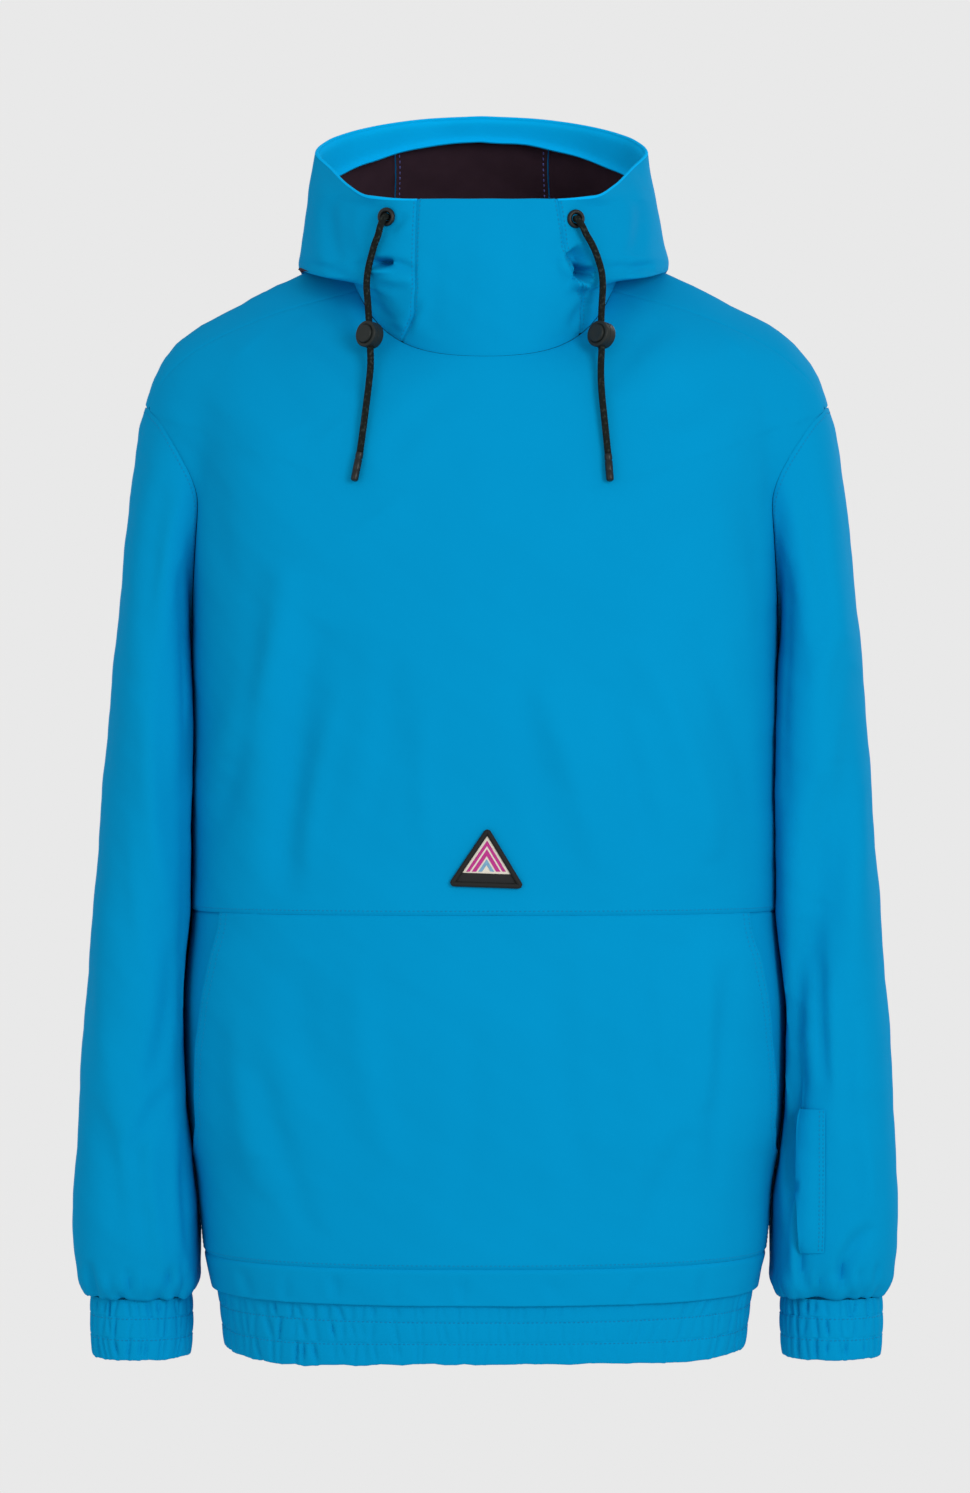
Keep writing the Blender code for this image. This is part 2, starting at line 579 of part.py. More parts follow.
UPPER_LEVELS = [row[0] for row in SHOULDER_SEAM[:-1] + ARMHOLE_SEAM] + [-0.305, -0.350, -0.395]
LOWER_LEVELS = [POCKET_SEAM_LEVEL, -0.480, -0.520, -0.562, -0.606, -0.642, STRIP_SEAM_LEVEL]
POCKET_COUNT = 18


def seam_angle(level, which):
    """The angle of the seam at the edge of the front or of the back, at any level."""
    seam = columns(EDGE_COLUMNS, SHOULDER_SEAM[:-1] + ARMHOLE_SEAM)
    return np.interp(-np.asarray(level), -seam["level"], seam[which])


def make_front():
    levels = UPPER_LEVELS + [POCKET_SEAM_LEVEL]
    edges = [(-seam_angle(level, "front_angle"), seam_angle(level, "front_angle")) for level in levels]
    angle, level = lay_out(body_point, levels, edges, sum(count for *_, count in FRONT_NECK))
    angle = meet_neck(angle, FRONT_NECK)
    cloth("front_upper", body_point(angle, level), normals_of(body_point, angle, level))


def make_back():
    levels = UPPER_LEVELS + LOWER_LEVELS
    edges = [(seam_angle(level, "back_angle"), 360 - seam_angle(level, "back_angle")) for level in levels]
    angle, level = lay_out(body_point, levels, edges, sum(count for *_, count in BACK_NECK))
    angle = meet_neck(angle, BACK_NECK)
    cloth("back_panel", body_point(angle, level), normals_of(body_point, angle, level))


def mouth_angle(level):
    """The pocket panel's slanting edge, which runs out to the side seam where the mouth ends."""
    return np.interp(-np.asarray(level), [-POCKET_SEAM_LEVEL, -POCKET_MOUTH_END_LEVEL],
                     POCKET_MOUTH_ANGLES)


def make_pocket_and_lower_front():
    """The kangaroo pocket's panel, flush with the upper front and a little proud at its mouths, and
    the under layer behind it, which shows as a strip outside each mouth."""
    edges = [(-mouth_angle(level), mouth_angle(level)) for level in LOWER_LEVELS]
    angle, level = lay_out(body_point, LOWER_LEVELS, edges, POCKET_COUNT)
    near_mouth = ramp(0.72, 1.0, np.abs(angle) / mouth_angle(level))
    in_mouth = ramp(POCKET_MOUTH_END_LEVEL - 0.01, -0.570, level) * (1 - ramp(-0.470, -0.442, level))
    normals = normals_of(body_point, angle, level)
    cloth("pocket_panel", body_point(angle, level), normals, sunk=-POCKET_MOUTH_LIFT * near_mouth * in_mouth)
    outside = (SIDE_SEAM + mouth_angle(level[:, :1])) / 2
    side = np.full(outside.shape, SIDE_SEAM)
    angle = np.hstack([-side, -outside, angle, outside, side])
    level = np.broadcast_to(level[:, :1], angle.shape)
    tucked = ramp(0, 1, (SIDE_SEAM - np.abs(angle)) / (SIDE_SEAM - mouth_angle(level)))
    cloth("front_lower", body_point(angle, level), normals_of(body_point, angle, level),
          sunk=tucked * (CLOTH + LAYER_GAP))


def make_strips():
    """The plain strip between the body and the elastic hem, front and back."""
    levels = [STRIP_SEAM_LEVEL, -0.687, HEM_SEAM_LEVEL]
    for name, first in (("strip_front", -SIDE_SEAM), ("strip_back", SIDE_SEAM)):
        angle, level = lay_out(body_point, levels, [(first, first + 180)] * len(levels), POCKET_COUNT)
        cloth(name, body_point(angle, level), normals_of(body_point, angle, level))


# ---------------------------------------------------------------- gathered elastic bands


def gathered(name, ring_at, centre, top, bottom, gathers):
    """A band of gathers in stitched channels, ridged outside and plain inside. ring_at(turn, share)
    gives the plain band's outer points, from share 0 at the seam to 1 at the edge."""
    turn = np.arange(2 * gathers) * 180.0 / gathers
    wave = np.arange(2 * gathers) % 2
    outer = []
    for row in range(CHANNELS + 1):
        points = ring_at(turn, row / CHANNELS)
        stitched = row in range(1, CHANNELS)
        ridge = GATHER_DEPTH * (0.6 if stitched else 1.0) * wave
        outer.append(points + unit((points - centre) * [1, 1, 0]) * ridge[:, None])
    inner = []
    for share in (0, 1):
        points = ring_at(turn, share)
        inner.append(points - unit((points - centre) * [1, 1, 0]) * CLOTH)
    outer, inner = np.stack(outer), np.stack(inner)
    outer[0, :, 2] = inner[0, :, 2] = top - SEAM_GAP / 2
    outer[-1, :, 2] = inner[-1, :, 2] = bottom
    wall(name, outer, inner, SHELL_CLOTH, SHELL_CLOTH, closed=True)


def make_hem():
    def ring_at(turn, share):
        level = HEM_SEAM_LEVEL + (HEM_BOTTOM_LEVEL - HEM_SEAM_LEVEL) * share
        points = body_point(turn, np.full(turn.shape, level))
        return points - unit(points * [1, 1, 0]) * 0.002

    gathered("hem_band", ring_at, np.zeros(3), HEM_SEAM_LEVEL, HEM_BOTTOM_LEVEL, HEM_GATHERS)


def make_cuff(name, side):
    middle = np.array([side * (CUFF_OUTER_X + CUFF_INNER_X) / 2, (CUFF_FRONT_Y + CUFF_BACK_Y) / 2, 0])
    half = np.array([CUFF_OUTER_X - CUFF_INNER_X, CUFF_BACK_Y - CUFF_FRONT_Y]) / 2 - GATHER_DEPTH

    def ring_at(turn, share):
        waist = 1 - 0.03 * math.sin(math.pi * share)
        z = CUFF_TOP + (CUFF_BOTTOM - CUFF_TOP) * share
        return middle + np.stack([half[0] * waist * np.sin(np.radians(turn)),
                                  -half[1] * waist * np.cos(np.radians(turn)),
                                  np.full(turn.shape, z)], axis=-1)

    gathered(name, ring_at, middle, CUFF_TOP, CUFF_BOTTOM, CUFF_GATHERS)


# ---------------------------------------------------------------- sleeves


def make_sleeve(name, side):
    rings, normals = sleeve_rings(side)
    if side == LEFT:  # the columns run to the right as seen from outside
        rings, normals = rings[:, ::-1], normals[:, ::-1]
    cloth(name, rings, normals, closed=True)
    return rings, normals


def grid_at(grid, row, column):
    """Points of a tube's grid between its rows and columns, on the triangles that wall() makes."""
    above, left = int(row), np.floor(column).astype(int)
    down, over = row - above, (column - left)[:, None]
    right = (left + 1) % grid.shape[1]
    corner, opposite = grid[above, left], grid[above + 1, right]
    below, beside = grid[above + 1, left], grid[above, right]
    lower = corner + (below - corner) * down + (opposite - below) * over
    upper = corner + (beside - corner) * over + (opposite - beside) * down
    return np.where(over <= down, lower, upper)


def make_sleeve_pocket(rings, normals):
    """The welt over the small pocket on the left forearm, standing on the sleeve and lifted along
    its open edge."""
    count = rings.shape[1]
    front = np.linspace(count * 0.55, count * 0.95, 160)  # the sleeve's front, inner side first
    points, outward = [], []
    for z in np.linspace(WELT_TOP, WELT_BOTTOM, WELT_ROWS):
        row = np.interp(-z, -rings[:, int(count * 0.75), 2], np.arange(len(rings)))
        column = np.interp(np.linspace(WELT_INNER_X, WELT_OUTER_X, len(WELT_LIFT)),
                           grid_at(rings, row, front)[:, 0], front)
        points.append(grid_at(rings, row, column))
        outward.append(unit(grid_at(normals, row, column)))
    cloth("sleeve_pocket_welt", np.stack(points), np.stack(outward), thickness=WELT_THICKNESS,
          sunk=-(WELT_THICKNESS + 3 * LAYER_GAP + np.array(WELT_LIFT)))


# ---------------------------------------------------------------- hood


def hood_grid(edges, stretches, rows=len(HOOD_DROPS)):
    """Angles and drops between two edges, each a function of the drop. The columns are even at the
    rim and meet the neck seam at its own points."""
    at_neck = neck_shares(stretches)
    drop = np.broadcast_to(np.array(HOOD_DROPS[:rows])[:, None], (rows, len(at_neck)))
    share = np.linspace(0, 1, len(at_neck)) * (1 - drop**2) + at_neck * drop**2
    first, last = (edge(drop[:, :1]) for edge in edges)
    return first + (last - first) * share, drop


def hood_cloth(name, angle, drop, **laid):
    inside = np.clip(drop, 0.001, 0.999)
    cloth(name, hood_point(angle, drop), normals_of(hood_point, angle, inside, outward=-1), **laid)


def collar_seam(seam, drop):
    """How far round a collar seam is from the front centre, at a drop below the rim."""
    at_rim, at_neck = seam
    return at_rim + (at_neck - at_rim) * drop**2


def make_hood():
    seams = {
        "collar_right": lambda drop: -collar_seam(COLLAR_SEAM_RIGHT, drop),
        "collar_left": lambda drop: collar_seam(COLLAR_SEAM_LEFT, drop),
        "crown_left": lambda drop: CROWN_SEAM_LEFT + 0 * drop,
        "crown_right": lambda drop: 360 - CROWN_SEAM_RIGHT + 0 * drop,
        "collar_round": lambda drop: 360 - collar_seam(COLLAR_SEAM_RIGHT, drop),
    }
    pieces = {
        "hood_collar_front": ("collar_right", "collar_left", FRONT_NECK[1:2]),
        "hood_side_left": ("collar_left", "crown_left", (FRONT_NECK[2], BACK_NECK[0])),
        "hood_crown": ("crown_left", "crown_right", BACK_NECK[1:2]),
        "hood_side_right": ("crown_right", "collar_round", (BACK_NECK[2], ROUND_TO_COLLAR)),
    }
    facing = []
    for name, (first, last, stretches) in pieces.items():
        edges = (seams[first], seams[last])
        hood_cloth(name, *hood_grid(edges, stretches))
        if name != "hood_collar_front":
            angle, drop = hood_grid(edges, stretches, FACING_ROWS)
            facing.append(angle if not facing else angle[:, 1:])
    angle = np.hstack(facing)
    drop = np.broadcast_to(drop[:, :1], angle.shape)
    hood_cloth("hood_hem_facing", angle, drop, thickness=0.0012, sunk=CLOTH + LAYER_GAP,
               back=SHELL_CLOTH)


# ---------------------------------------------------------------- badge


def front_point(x, level, raised):
    """A point over the front at x, for levels below the neckline's dip."""
    angle = np.degrees(np.arcsin(np.clip(x / 0.14, -1, 1)))
    for _ in range(8):
        angle = np.degrees(np.arctan2(x, -body_point(angle, level)[..., 1]))
    return body_point(angle, level) + normals_of(body_point, angle, level) * raised


def inset_corners(distance):
    """The badge's corners moved in from its edges."""
    corners = np.array(BADGE_CORNERS)
    moved = []
    for index in range(3):
        corner = corners[index]
        one, other = unit(corners[index - 1] - corner), unit(corners[(index + 1) % 3] - corner)
        half = math.acos(float(one @ other)) / 2
        moved.append(corner + unit(one + other) * distance / math.sin(half))
    return np.array(moved)


def badge_outline(inset):
    """The badge's outline with rounded corners, moved in from its edges."""
    corners, centres = inset_corners(inset), inset_corners(inset + BADGE_CORNER_RADIUS)
    arcs = []
    for index in range(3):
        corner, centre = corners[index], centres[index]
        ways = (unit(corners[index - 1] - corner), unit(corners[(index + 1) % 3] - corner))
        feet = [corner + way * ((centre - corner) @ way) for way in ways]
        arcs.append(centre + unit(np.linspace(*feet, 5) - centre) * BADGE_CORNER_RADIUS)
    edges = [np.linspace(arcs[index - 1][-1], arcs[index][0], 5)[1:-1] for index in range(3)]
    return np.vstack([part for pair in zip(edges, arcs) for part in pair])


def make_badge():
    """A plain three-sided badge and the raised stitched border round it."""
    apex, left, right = inset_corners(2 * BADGE_BORDER + SEAM_GAP)
    down = np.array(BADGE_ROWS)[:, None, None]
    across = np.linspace(0, 1, 6)[:, None]
    places = apex + ((left - apex) * (1 - across) + (right - apex) * across) * down
    inner = front_point(places[..., 0], places[..., 1], LAYER_GAP)
    outer = front_point(places[..., 0], places[..., 1], LAYER_GAP + BADGE_THICKNESS)
    wall("badge", outer, inner, BADGE_FIELD, BADGE_FIELD)
    line = badge_outline(BADGE_BORDER)
    tube("badge_border", front_point(line[:, 0], line[:, 1], LAYER_GAP + BADGE_BORDER),
         2 * BADGE_BORDER, STITCHED_EDGE, cyclic=True)


# ---------------------------------------------------------------- cords and what is on them


def tube(name, points, diameter, finish, cyclic=False):
    curve = bpy.data.curves.new(name, "CURVE")
    curve.dimensions = "3D"
    curve.bevel_depth = diameter / 2
    curve.bevel_resolution = 2
    curve.use_fill_caps = not cyclic
    spline = curve.splines.new("POLY")
    spline.points.add(len(points) - 1)
    for point, place in zip(spline.points, points):
        point.co = (*place, 1)
    spline.use_cyclic_u = cyclic
    curve.materials.append(finish)
    return add(name, curve)


def route_points(route):
    """The route's first stretch, through its eyelet, then points a step apart on a smooth curve."""
    route = np.array(route)
    run = np.concatenate([[0], np.cumsum(np.linalg.norm(np.diff(route, axis=0), axis=1))])
    slopes = np.gradient(route, run, axis=0)
    steps = round((run[-1] - run[1]) / CORD_STEP)
    places = np.concatenate([[0], np.linspace(run[1], run[-1], steps + 1)])
    i = np.clip(np.searchsorted(run, places, side="right") - 1, 0, len(route) - 2)
    h = (run[i + 1] - run[i])[:, None]
    t = (places - run[i])[:, None] / h
    first = route[i] * (1 + 2 * t) * (1 - t) ** 2 + slopes[i] * h * t * (1 - t) ** 2
    return first + route[i + 1] * t**2 * (3 - 2 * t) - slopes[i + 1] * h * t**2 * (1 - t)


def cylinder(name, diameter, length, sides, middle, axis, finish, rounding=0.0):
    bpy.ops.mesh.primitive_cylinder_add(vertices=sides, radius=diameter / 2, depth=length)
    made = bpy.context.object
    made.name = made.data.name = name
    made.location = middle
    made.rotation_mode = "QUATERNION"
    made.rotation_quaternion = Vector(axis).to_track_quat("Z", "Y")
    move_to(JACKET, made)
    made.data.materials.append(finish)
    if rounding:
        bevel = made.modifiers.new("rounded_rims", "BEVEL")
        bevel.width = rounding
        bevel.segments = 2
        bevel.limit_method = "ANGLE"
    return made


def make_eyelet(name, start, following):
    """A ring round the cord's way out. The cord's first stretch is square to the cloth."""
    axis = unit(np.array(following) - np.array(start))
    middle = np.array(start) + axis * (EYELET_WIRE + 0.0004)
    bpy.ops.mesh.primitive_torus_add(major_radius=EYELET_RADIUS, minor_radius=EYELET_WIRE,
                                     major_segments=20, minor_segments=8)
    ring = bpy.context.object
    ring.name = ring.data.name = name
    ring.location = middle
    ring.rotation_mode = "QUATERNION"
    ring.rotation_quaternion = Vector(axis).to_track_quat("Z", "Y")
    move_to(JACKET, ring)
    ring.data.materials.append(BLACK_METAL)


def make_cord(side, route, tip_end):
    """A drawcord's free end with its eyelet, lock, button and tip."""
    make_eyelet(f"eyelet_{side}", route[0], route[1])
    tube(f"cord_{side}", route_points(route), CORD_DIAMETER, CORD_WEAVE)
    middle = np.array(route[LOCK_POINT])
    along = unit(np.array(route[LOCK_POINT + 1]) - np.array(route[LOCK_POINT - 1]))
    faces = np.array(LOCK_FACES)
    faces = unit(faces - along * (faces @ along))
    lock = cylinder(f"cord_lock_{side}", LOCK_DIAMETER, LOCK_LENGTH, 24, middle, faces, BLACK_PLASTIC,
                    rounding=0.0012)
    bore = cylinder(f"lock_bore_{side}", CORD_DIAMETER + 0.0010, 0.03, 12, middle, along, BLACK_PLASTIC)
    move_to(CUTTERS, bore)
    bore.hide_render = True
    cut = lock.modifiers.new("cord_bore", "BOOLEAN")
    cut.object = bore
    button_length = BUTTON_PROUD - SEAM_GAP
    button_middle = middle + faces * (LOCK_LENGTH / 2 + SEAM_GAP + button_length / 2)
    cylinder(f"lock_button_{side}", BUTTON_DIAMETER, button_length, 20, button_middle, faces,
             BLACK_PLASTIC, rounding=0.0003)
    start, end = np.array(route[-1]), np.array(tip_end)
    down = unit(end - start)
    start = start + down * SEAM_GAP * 2
    cylinder(f"cord_tip_{side}", TIP_DIAMETER, float(np.linalg.norm(end - start)), 12, (start + end) / 2,
             down, BLACK_METAL, rounding=0.0007)


# ---------------------------------------------------------------- build

for old in list(bpy.data.objects):
    bpy.data.objects.remove(old)
JACKET = bpy.data.collections.new("softshell_jacket")
bpy.context.scene.collection.children.link(JACKET)
CUTTERS = bpy.data.collections.new("cutters")
bpy.context.scene.collection.children.link(CUTTERS)

SHELL_CLOTH = material("shell_cloth", (0.0, 0.29, 0.59), 0.75)
FLEECE_BACK = material("fleece_back", (0.019, 0.011, 0.017), 0.95)
BADGE_FIELD = material("badge_field", (0.85, 0.80, 0.69), 0.8)
STITCHED_EDGE = material("stitched_edge", (0.012, 0.013, 0.013), 0.8)

BLACK_METAL = material("black_metal", (0.02, 0.022, 0.022), 0.35, metallic=0.8)
BLACK_PLASTIC = material("black_plastic", (0.022, 0.028, 0.027), 0.45)
CORD_WEAVE = material("cord_weave", (0.018, 0.022, 0.021), 0.85)

make_front()
make_back()
make_pocket_and_lower_front()
make_strips()
make_hem()
make_cuff("cuff_left", LEFT)
make_cuff("cuff_right", RIGHT)
left_rings, left_normals = make_sleeve("sleeve_left", LEFT)
make_sleeve("sleeve_right", RIGHT)
make_sleeve_pocket(left_rings, left_normals)
make_hood()
make_badge()
make_cord("right", RIGHT_CORD, RIGHT_TIP_END)
make_cord("left", LEFT_CORD, LEFT_TIP_END)
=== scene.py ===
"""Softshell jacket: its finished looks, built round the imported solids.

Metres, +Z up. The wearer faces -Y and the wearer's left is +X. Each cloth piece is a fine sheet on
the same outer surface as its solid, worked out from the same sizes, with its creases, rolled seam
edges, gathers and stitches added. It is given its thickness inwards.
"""

import math

import bpy
import numpy as np
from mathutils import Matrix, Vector


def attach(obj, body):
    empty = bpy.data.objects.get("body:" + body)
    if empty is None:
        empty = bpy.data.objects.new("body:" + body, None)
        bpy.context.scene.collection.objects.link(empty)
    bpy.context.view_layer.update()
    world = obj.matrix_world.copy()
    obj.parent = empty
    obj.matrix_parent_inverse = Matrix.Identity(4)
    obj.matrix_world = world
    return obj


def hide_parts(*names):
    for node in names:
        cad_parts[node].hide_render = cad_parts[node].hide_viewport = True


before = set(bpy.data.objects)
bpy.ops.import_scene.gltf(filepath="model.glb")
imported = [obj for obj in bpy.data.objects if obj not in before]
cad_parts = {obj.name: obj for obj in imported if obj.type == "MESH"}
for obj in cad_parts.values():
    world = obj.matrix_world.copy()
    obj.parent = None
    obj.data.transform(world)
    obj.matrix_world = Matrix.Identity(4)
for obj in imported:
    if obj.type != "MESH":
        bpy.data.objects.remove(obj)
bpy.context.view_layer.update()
bpy.ops.object.select_all(action="DESELECT")

# ---------------------------------------------------------------- camera, floor and light

PHOTO_WIDTH, PHOTO_HEIGHT = 970, 1493
PIXEL = 0.0007  # one pixel of the photograph, at the jacket's middle depth
CAMERA_DISTANCE = 3.0
CAMERA_HEIGHT = -0.32445
SENSOR = 24.0
BACKGROUND = 0.8148  # 233 of 255
FLOOR_LEVEL = -1.5
WALL_LIGHT = 0.76  # share of the room's light that falls on the jacket
KEY_POWER, FILL_POWER, BACK_POWER = 33.5, 9.0, 30.0

# ---------------------------------------------------------------- the jacket's sizes

CLOTH = 0.0016  # the bonded cloth's thickness
SEAM_GAP = 0.0001  # between two sewn pieces
LAYER_GAP = 0.0004  # between cloths that lie on each other
NECK_LEVEL = 0.022
POCKET_SEAM_LEVEL = -0.4373
POCKET_MOUTH_END_LEVEL = -0.610
# The pocket mouths: their levels, from the seam down to the side seam, and the degrees round there.
POCKET_MOUTH = ((0.4373, 0.4595, 0.486, 0.515, 0.534, 0.5566, 0.5826, 0.600, 0.612),
                (65.0, 65.3, 67.0, 69.0, 70.5, 71.5, 72.8, 76.5, 87.0))
POCKET_MOUTH_LIFT = 0.0018
STRIP_SEAM_LEVEL = -0.6745
HEM_SEAM_LEVEL = -0.6985
HEM_BOTTOM_LEVEL = -0.7400
SIDE_SEAM = 90.0
CUFF_TOP = -0.7060
CUFF_BOTTOM = -0.7465
CUFF_OUTER_X = 0.2785
CUFF_INNER_X = 0.2045
CUFF_FRONT_Y = -0.0475
CUFF_BACK_Y = 0.0255
CUFF_SHIFTS = {1: 0.0, -1: -0.0020}  # the right cuff sits nearer the body
CUFF_GATHERS = 32
HEM_GATHERS = 116
CORD_DIAMETER = 0.0045
LEFT, RIGHT = 1, -1

# ---------------------------------------------------------------- the body's tables

# Each ring is a squared oval with a bulge at each side for the shoulder and the armhole.
BODY_COLUMNS = ("level", "half_width", "cap_reach", "cap_crease", "front_depth", "front_drop",
                "back_depth", "back_drop", "squareness")
BODY_RINGS = (
    (0.022, 0.0940, 0.0600, 20, 0.0980, 0.082, 0.0820, 0.014, 2.00),
    (-0.012, 0.1655, 0.1450, 20, 0.1090, 0.082, 0.0990, 0.012, 2.15),
    (-0.026, 0.1850, 0.1880, 20, 0.1130, 0.081, 0.1060, 0.012, 2.25),
    (-0.040, 0.1940, 0.2120, 20, 0.1165, 0.080, 0.1120, 0.011, 2.35),
    (-0.068, 0.2035, 0.2340, 28, 0.1230, 0.075, 0.1210, 0.010, 2.50),
    (-0.096, 0.2040, 0.2425, 40, 0.1280, 0.066, 0.1270, 0.009, 2.55),
    (-0.125, 0.2040, 0.2380, 60, 0.1315, 0.056, 0.1310, 0.007, 2.60),
    (-0.175, 0.2040, 0.1850, 60, 0.1360, 0.038, 0.1350, 0.004, 2.60),
    (-0.260, 0.2040, 0.1000, 60, 0.1390, 0.012, 0.1375, 0.001, 2.60),
    (-0.345, 0.2040, 0.1000, 60, 0.1400, 0.000, 0.1380, 0.000, 2.60),
    (-0.438, 0.2045, 0.1000, 60, 0.1400, 0.000, 0.1370, 0.000, 2.60),
    (-0.505, 0.2105, 0.1000, 60, 0.1400, 0.000, 0.1360, 0.000, 2.55),
    (-0.545, 0.2100, 0.1000, 60, 0.1395, 0.000, 0.1350, 0.000, 2.50),
    (-0.593, 0.2060, 0.1000, 60, 0.1385, 0.000, 0.1340, 0.000, 2.50),
    (-0.628, 0.2005, 0.1000, 60, 0.1370, 0.000, 0.1325, 0.000, 2.50),
    (-0.676, 0.1957, 0.1000, 60, 0.1345, 0.000, 0.1300, 0.000, 2.50),
    (-0.701, 0.1890, 0.1000, 60, 0.1290, 0.000, 0.1250, 0.000, 2.50),
    (-0.745, 0.1835, 0.1000, 60, 0.1240, 0.000, 0.1200, 0.000, 2.50),
)
FRONT_FULLNESS = 0.5  # how much of the neckline's dip spreads round from the front centre
BACK_DROP_POWER = 1.3
CAP_FRONT_SPREAD = 38.8  # degrees that the shoulder cap's bulge covers on each side
CAP_BACK_SPREAD = 52.0

# Angles round from the front centre, in degrees, down the seams at the edges of front and back.
EDGE_COLUMNS = ("level", "front_angle", "back_angle")
SHOULDER_SEAM = (
    (0.022, 69.0, 69.0),
    (-0.004, 76.0, 76.0),
    (-0.028, 80.0, 80.0),
    (-0.056, 83.3, 83.3),
    (-0.084, 86.0, 86.0),
)
ARMHOLE_SEAM = (
    (-0.0840, 86.0, 86.0),
    (-0.0885, 82.0, 92.5),
    (-0.0980, 79.0, 99.0),
    (-0.1120, 76.8, 105.0),
    (-0.1300, 75.6, 109.3),
    (-0.1510, 76.0, 112.0),
    (-0.1740, 77.4, 112.3),
    (-0.1990, 79.6, 110.2),
    (-0.2230, 82.4, 106.0),
    (-0.2440, 85.7, 99.5),
    (-0.2600, 90.0, 90.0),
)

# Long soft folds, as lines on the surface. A depth below 0 is a ridge.
FOLD_COLUMNS = ("top_angle", "top_level", "bottom_angle", "bottom_level", "half_width", "depth")
BODY_FOLDS = (
    (-52.0, -0.060, -30.0, -0.115, 0.030, 0.0035),
    (50.0, -0.055, 33.0, -0.100, 0.028, 0.0030),
    (-47.0, -0.180, -63.0, -0.350, 0.024, -0.0030),
    (-38.0, -0.230, -50.0, -0.440, 0.024, 0.0030),
    (15.0, -0.270, 31.0, -0.430, 0.026, -0.0028),
    (36.0, -0.240, 55.0, -0.420, 0.024, -0.0032),
    (-24.0, -0.480, -40.0, -0.620, 0.028, 0.0026),
    (48.0, -0.460, 44.0, -0.600, 0.026, -0.0026),
    (205.0, -0.150, 232.0, -0.400, 0.030, 0.0036),
    (160.0, -0.180, 140.0, -0.380, 0.026, 0.0030),
    (176.0, -0.330, 186.0, -0.580, 0.034, 0.0028),
    (132.0, -0.420, 118.0, -0.610, 0.026, -0.0030),
)
BODY_RADIUS = 0.17  # turns an angle round the body into a distance along the cloth

# ---------------------------------------------------------------- the sleeves' tables

# The sections below the armhole. away is how far a section has left the armhole's shape.
SLEEVE_COLUMNS = ("outer_z", "inner_z", "outer_x", "inner_x", "front_y", "back_y", "away")
SLEEVE_SECTIONS = (
    (-0.1120, -0.2650, 0.2450, 0.2050, -0.064, 0.086, 0.14),
    (-0.1620, -0.2800, 0.2520, 0.2020, -0.070, 0.092, 0.48),
    (-0.2250, -0.3040, 0.2580, 0.1980, -0.074, 0.096, 0.86),
    (-0.2900, -0.3420, 0.2640, 0.1960, -0.076, 0.096, 1.0),
    (-0.3600, -0.3900, 0.2698, 0.1960, -0.076, 0.092, 1.0),
    (-0.4300, -0.4440, 0.2750, 0.1965, -0.076, 0.085, 1.0),
    (-0.4950, -0.4990, 0.2800, 0.1990, -0.076, 0.076, 1.0),
    (-0.5500, -0.5500, 0.2838, 0.2010, -0.076, 0.067, 1.0),
    (-0.5980, -0.5980, 0.2856, 0.2020, -0.074, 0.058, 1.0),
    (-0.6400, -0.6400, 0.2878, 0.1990, -0.070, 0.049, 1.0),
    (-0.6720, -0.6720, 0.2866, 0.1990, -0.064, 0.041, 1.0),
    (-0.6930, -0.6930, 0.2826, 0.2005, -0.056, 0.033, 1.0),
    (-0.7060, -0.7060, 0.2780, 0.2040, -0.049, 0.027, 1.0),
)
SLEEVE_SQUARENESS = 2.3
SLEEVE_FLATTENED = 1.5  # more of that where the sleeve's inner side lies on the body
SLEEVE_CLEARANCE = 0.0020  # where a sleeve lies against the body

# Angles run from the sleeve's outer side, 0, through its front, 90, to its inner side.
LEFT_SLEEVE_FOLDS = (
    (40.0, -0.270, 118.0, -0.500, 0.019, 0.0060),
    (120.0, -0.440, 146.0, -0.690, 0.020, 0.0070),
    (66.0, -0.560, 92.0, -0.690, 0.018, 0.0030),
    (262.0, -0.290, 240.0, -0.480, 0.026, 0.0050),
    (300.0, -0.470, 262.0, -0.640, 0.022, 0.0040),
)
RIGHT_SLEEVE_FOLDS = (
    (128.0, -0.300, 138.0, -0.590, 0.020, 0.0050),
    (44.0, -0.560, 82.0, -0.690, 0.020, 0.0030),
    (250.0, -0.270, 268.0, -0.500, 0.026, 0.0052),
    (290.0, -0.520, 252.0, -0.660, 0.022, 0.0036),
)
SLEEVE_RADIUS = 0.055

# The welt over the left forearm's small pocket. Its inner edge is the pocket's mouth.
WELT_TOP, WELT_BOTTOM = -0.5725, -0.6715
WELT_INNER_X, WELT_OUTER_X = 0.2175, 0.2325

# ---------------------------------------------------------------- the hood's tables

# The rim, from the front centre round one side to the back centre.
RIM_COLUMNS = ("angle", "x", "y", "z")
HOOD_RIM = (
    (0.0, 0.0000, -0.0960, 0.0474),
    (22.0, 0.0330, -0.0958, 0.0474),
    (34.5, 0.0520, -0.0945, 0.0472),
    (48.0, 0.0745, -0.0850, 0.0490),
    (62.0, 0.0905, -0.0610, 0.0605),
    (76.0, 0.1040, -0.0300, 0.0770),
    (90.0, 0.1165, 0.0020, 0.0930),
    (108.0, 0.1100, 0.0300, 0.1050),
    (126.0, 0.0965, 0.0530, 0.1140),
    (146.0, 0.0690, 0.0780, 0.1238),
    (164.0, 0.0350, 0.0950, 0.1302),
    (180.0, 0.0000, 0.1000, 0.1325),
)
RIM_SHIFT = -0.0024  # the hood sits a little to the wearer's right

